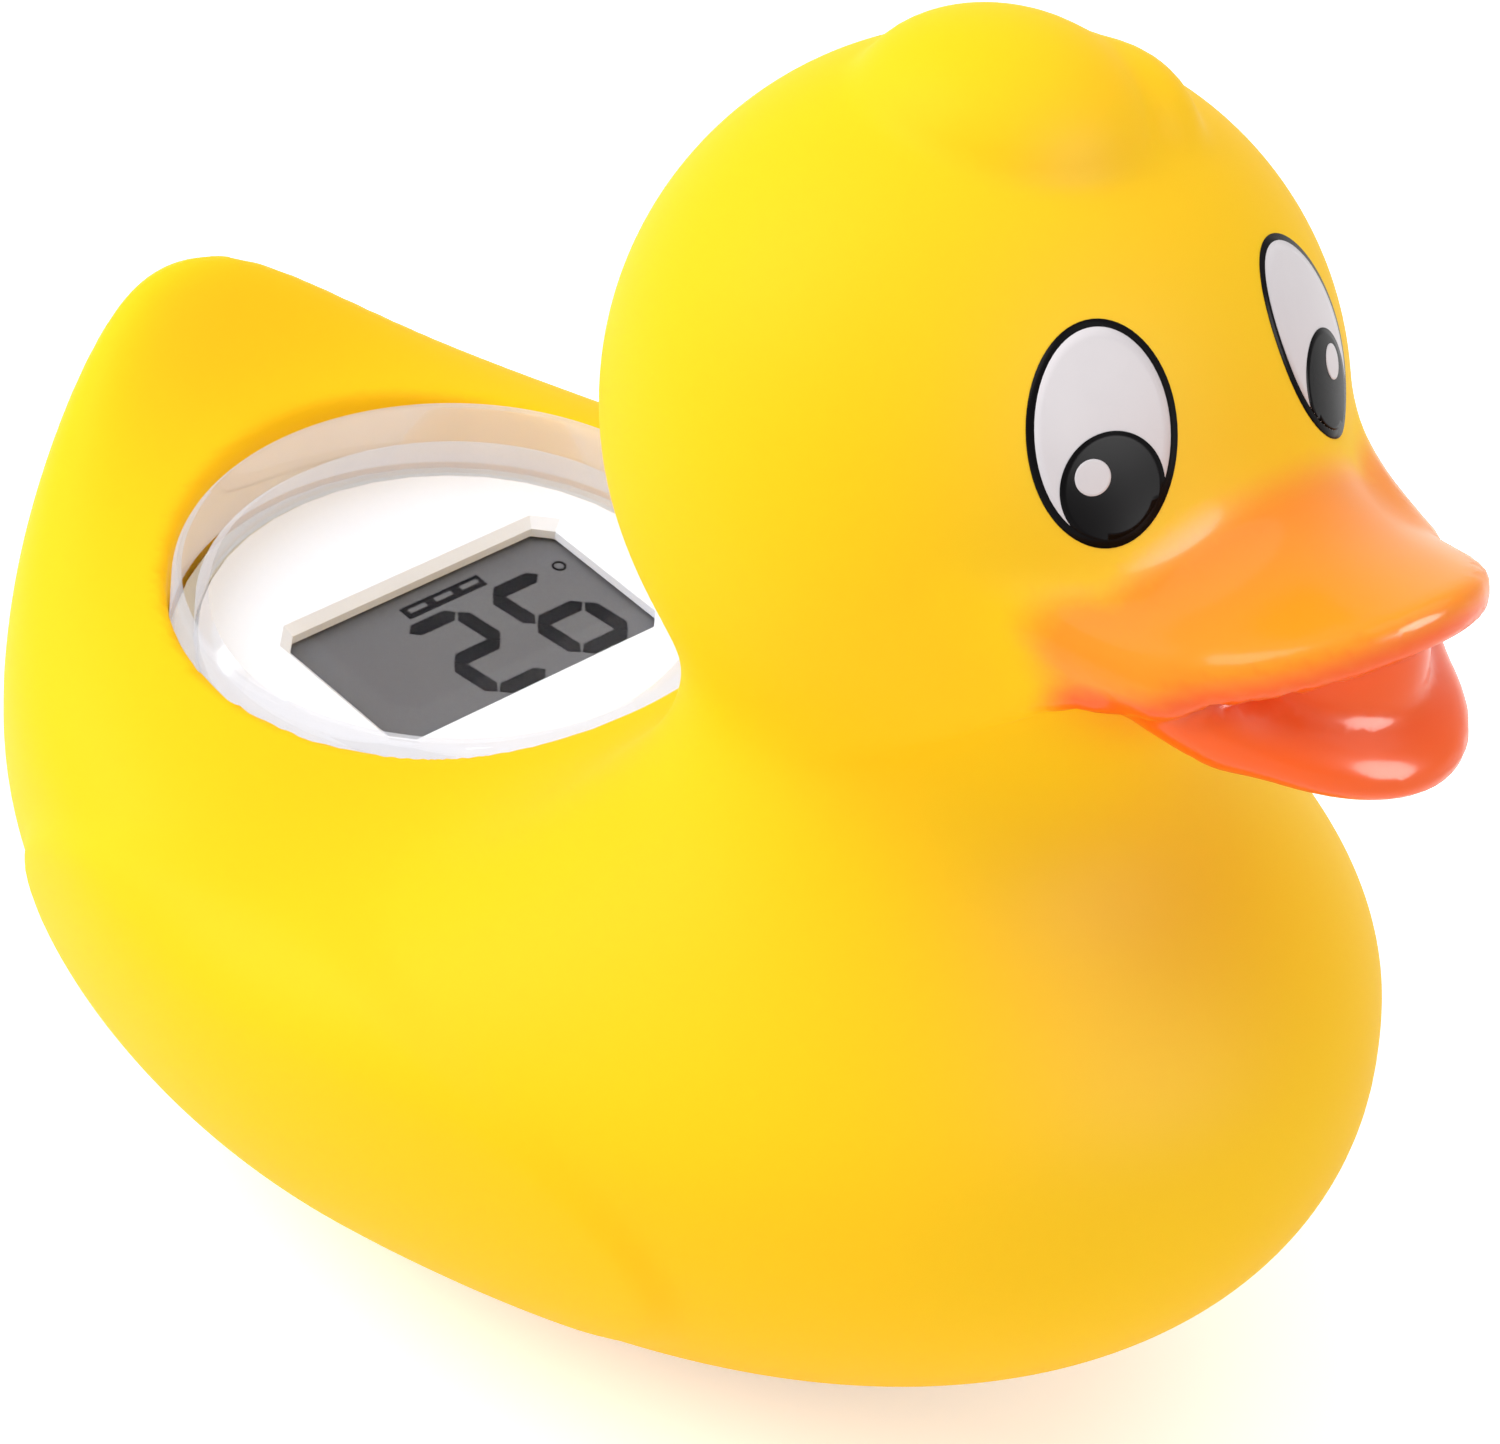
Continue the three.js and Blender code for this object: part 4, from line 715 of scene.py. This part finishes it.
# Display marks: a ring for degrees after the figures, and a dark box with three pale bars above them.
# They are liquid crystal too, dark where it is switched on, and lie in the same layer as the figures.
RING_AT, RING_RADIUS, RING_LINE, RING_SIDES = (12.6, 2.6), 0.55, 0.16, 32
BOX_AT, BOX_SIZE, BOX_BARS, BOX_BAR_SIZE = (3.0, 4.6), (7.4, 1.3), 3, (1.6, 0.45)


def display_prism(name, outline, thickness, finish):
    """A flat plate on the glass with the given outline of (right, up)."""
    low = in_duck([[-u, r, GLASS_TOP] for r, u in outline])
    high = in_duck([[-u, r, GLASS_TOP + thickness] for r, u in outline])
    n = len(outline)
    faces = [list(range(n))[::-1], list(range(n, 2 * n))]
    faces += [[i, (i + 1) % n, n + (i + 1) % n, n + i] for i in range(n)]
    plate = piece(name, np.concatenate([low, high]), faces, smooth=False)
    plate.data.materials.append(finish)
    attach(plate, "root")
    return plate


def oblong(at, size):
    (x, y), (a, b) = at, (size[0] / 2, size[1] / 2)
    return [(x - a, y - b), (x + a, y - b), (x + a, y + b), (x - a, y + b)]


display_prism("display_box", oblong(BOX_AT, BOX_SIZE), SEGMENT_THICKNESS, dark_crystal)
for n in range(BOX_BARS):
    at = (BOX_AT[0] + (n - (BOX_BARS - 1) / 2) * BOX_SIZE[0] / BOX_BARS, BOX_AT[1])
    display_prism(f"display_box_bar_{n}", oblong(at, BOX_BAR_SIZE), SEGMENT_THICKNESS * 2, lcd_grey)
angle = np.arange(RING_SIDES) * 2 * np.pi / RING_SIDES
ring_top, ring_inside = GLASS_TOP + SEGMENT_THICKNESS, RING_RADIUS - RING_LINE
rings = [(ring_inside, GLASS_TOP), (RING_RADIUS, GLASS_TOP), (RING_RADIUS, ring_top), (ring_inside, ring_top)]
ring_across, ring_up = np.cos(angle), np.sin(angle)
points = np.concatenate([
    np.stack([-RING_AT[1] - r * ring_up, RING_AT[0] + r * ring_across, np.full(RING_SIDES, z)], -1)
    for r, z in rings])
faces = []
for k in range(len(rings)):
    here, beyond = k * RING_SIDES, (k + 1) % len(rings) * RING_SIDES
    for s in range(RING_SIDES):
        t = (s + 1) % RING_SIDES
        faces.append([here + s, here + t, beyond + t, beyond + s])
degree_ring = piece("display_degree_ring", in_duck(points), faces, smooth=False)
degree_ring.data.materials.append(dark_crystal)
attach(degree_ring, "root")

# Board: green glass-fibre laminate that carries a chip under poured epoxy and a clock crystal in a can.
# Four small steel screws hold it to the face plate, with the display and its strips pressed between them.
board_green = plain_finish("board_varnish", shade(28, 104, 58), shade(20, 86, 48), 350.0, 0.35, 0.15,
                           bump=0.1)
coat_nodes(board_green, "circuit_board")
coat_nodes(plain_finish("black_epoxy", shade(22, 22, 22), shade(32, 31, 30), 500.0, 0.3, 0.2), "chip_blob")
bright_steel = plain_finish("drawn_steel", shade(190, 194, 198), shade(172, 176, 182), 900.0, 0.25, 0.12,
                            metallic=1.0)
screws = [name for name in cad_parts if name.startswith("board_screw")]
coat_nodes(bright_steel, *screws, "door_screw", "sensor_cap")

# Power: two button cells in wells under the board, held by the battery door and its screw.
# Sprung contacts of nickel-plated strip, above and below the cells, join them and feed the board.
nickel = plain_finish("nickel_plate", shade(205, 206, 204), shade(190, 190, 186), 700.0, 0.2, 0.12, metallic=1.0)
coat_nodes(nickel, "battery_right", "battery_left", "contact_positive", "contact_negative", "contact_bridge",
           "crystal_can")

# Sensor: a bead dipped in black epoxy, in the steel thimble of the plug that snaps into the sole.
# Two thin sleeved wires, one red and one black, run up from it through the hollow duck to the board.
coat_nodes(plain_finish("dipped_bead", shade(30, 30, 33), shade(44, 43, 45), 800.0, 0.35, 0.1), "thermistor")
coat_nodes(plain_finish("red_sleeve", shade(190, 40, 32), shade(172, 32, 28), 600.0, 0.45, 0.1), "lead_right")
coat_nodes(plain_finish("black_sleeve", shade(30, 30, 32), shade(40, 40, 42), 600.0, 0.45, 0.1), "lead_left")

# Floor and light: a white sweep that the duck stands on, clear from below, in a bright white room.
# A large soft light stands on the duck's right, one hangs above, and one in front only glints on gloss.
FLOOR_HALF = 3.0
floor_mesh = bpy.data.meshes.new("floor")
floor_corners = [(-FLOOR_HALF, -FLOOR_HALF, 0), (FLOOR_HALF, -FLOOR_HALF, 0), (FLOOR_HALF, FLOOR_HALF, 0),
                 (-FLOOR_HALF, FLOOR_HALF, 0)]
floor_mesh.from_pydata(floor_corners, [], [(0, 1, 2, 3)])
floor = bpy.data.objects.new("floor", floor_mesh)
bpy.context.scene.collection.objects.link(floor)


def backdrop_rays(wire):
    """One for the rays that see the white backdrop: straight, in a reflection or through the lens."""
    kinds = ("Camera", "Glossy", "Transmission")
    rays = [wire.node("ShaderNodeLightPath", out=f"Is {kind} Ray") for kind in kinds]
    return wire.node("ShaderNodeMath", {"operation": "ADD", "use_clamp": True},
                     {0: rays[0] + rays[1], 1: rays[2]})


sweep, wire = new_finish("white_sweep")
paper = wire.mix(wire.noise(5.0), (0.93, 0.93, 0.93, 1), (0.91, 0.91, 0.91, 1))
matt = wire.node("ShaderNodeBsdfDiffuse", None, {"Color": paper})
lift = wire.node("ShaderNodeEmission", None, {"Color": (1, 1, 1, 1), "Strength": 0.42})
seen = backdrop_rays(wire)
both_seen = wire.node("ShaderNodeAddShader", None, {0: matt, 1: lift})
from_above = wire.node("ShaderNodeMixShader", None, {0: seen, 1: matt, 2: both_seen})
from_below = wire.node("ShaderNodeNewGeometry", out="Backfacing")
see_past = wire.node("ShaderNodeBsdfTransparent")
close_finish(wire, wire.node("ShaderNodeMixShader", None, {0: from_below, 1: from_above, 2: see_past}))
floor_mesh.materials.append(sweep)

world = bpy.data.worlds.new("bright_room")
bpy.context.scene.world = world
world.use_nodes = True
world.node_tree.nodes.clear()
wire = Wire(world.node_tree)
room = wire.node("ShaderNodeBackground", None, {"Color": (1, 1, 1, 1), "Strength": 0.72})
backdrop = wire.node("ShaderNodeBackground", None, {"Color": (1, 1, 1, 1), "Strength": 1.0})
seen = backdrop_rays(wire)
either = wire.node("ShaderNodeMixShader", None, {0: seen, 1: room, 2: backdrop})
wire.node("ShaderNodeOutputWorld", None, {"Surface": either})


def soft_light(name, place, size, watts):
    lamp = bpy.data.lights.new(name, "AREA")
    lamp.shape, lamp.size, lamp.energy = "DISK", size, watts
    stand = bpy.data.objects.new(name, lamp)
    stand.location = place
    stand.rotation_mode = "QUATERNION"
    stand.rotation_quaternion = (Vector((0, 0, 0.05)) - Vector(place)).to_track_quat("-Z", "Y")
    bpy.context.scene.collection.objects.link(stand)
    return stand


soft_light("key_light", (-0.47, -0.52, 0.62), 0.7, 5.8)
soft_light("top_light", (0.15, 0.15, 0.85), 0.9, 2.2)
glint_light = soft_light("glint_light", (0.75, -0.03, 0.38), 0.6, 14.0)
glint_light.visible_diffuse = False

# Camera: a long lens to the duck's right and in front of it, looking down on its back.
# Its place is given in the duck's frame, turned from the duck's right and raised above the floor.
CAMERA_TURN, CAMERA_RISE, CAMERA_DISTANCE = math.radians(47.1525), math.radians(32.4564), 346.067
CAMERA_AIM, CAMERA_SLIDE, CAMERA_LIFT = np.array([0, 0, 40.0]), 3.555, 0.913
FOCAL_PIXELS, IMAGE_WIDTH, SENSOR_WIDTH = 4994.46, 1500, 36.0
cos_a, sin_a = math.cos(CAMERA_TURN), math.sin(CAMERA_TURN)
cos_e, sin_e = math.cos(CAMERA_RISE), math.sin(CAMERA_RISE)
right = np.array([cos_a, sin_a, 0])
up = np.array([-sin_a * sin_e, cos_a * sin_e, cos_e])
back = np.array([sin_a * cos_e, -cos_a * cos_e, sin_e])
stand_at = (CAMERA_AIM + CAMERA_DISTANCE * back + CAMERA_SLIDE * right + CAMERA_LIFT * up + to_frame) / 1000
lens_data = bpy.data.cameras.new("camera")
lens_data.sensor_width, lens_data.lens = SENSOR_WIDTH, FOCAL_PIXELS / IMAGE_WIDTH * SENSOR_WIDTH
lens_data.clip_start, lens_data.clip_end = 0.01, 50
camera = bpy.data.objects.new("camera", lens_data)
placing = np.eye(4)
placing[:3] = np.stack([right, up, back, stand_at], -1)
camera.matrix_world = Matrix(placing.tolist())
bpy.context.scene.collection.objects.link(camera)
bpy.context.scene.camera = camera
bpy.context.scene.view_settings.view_transform = "Standard"
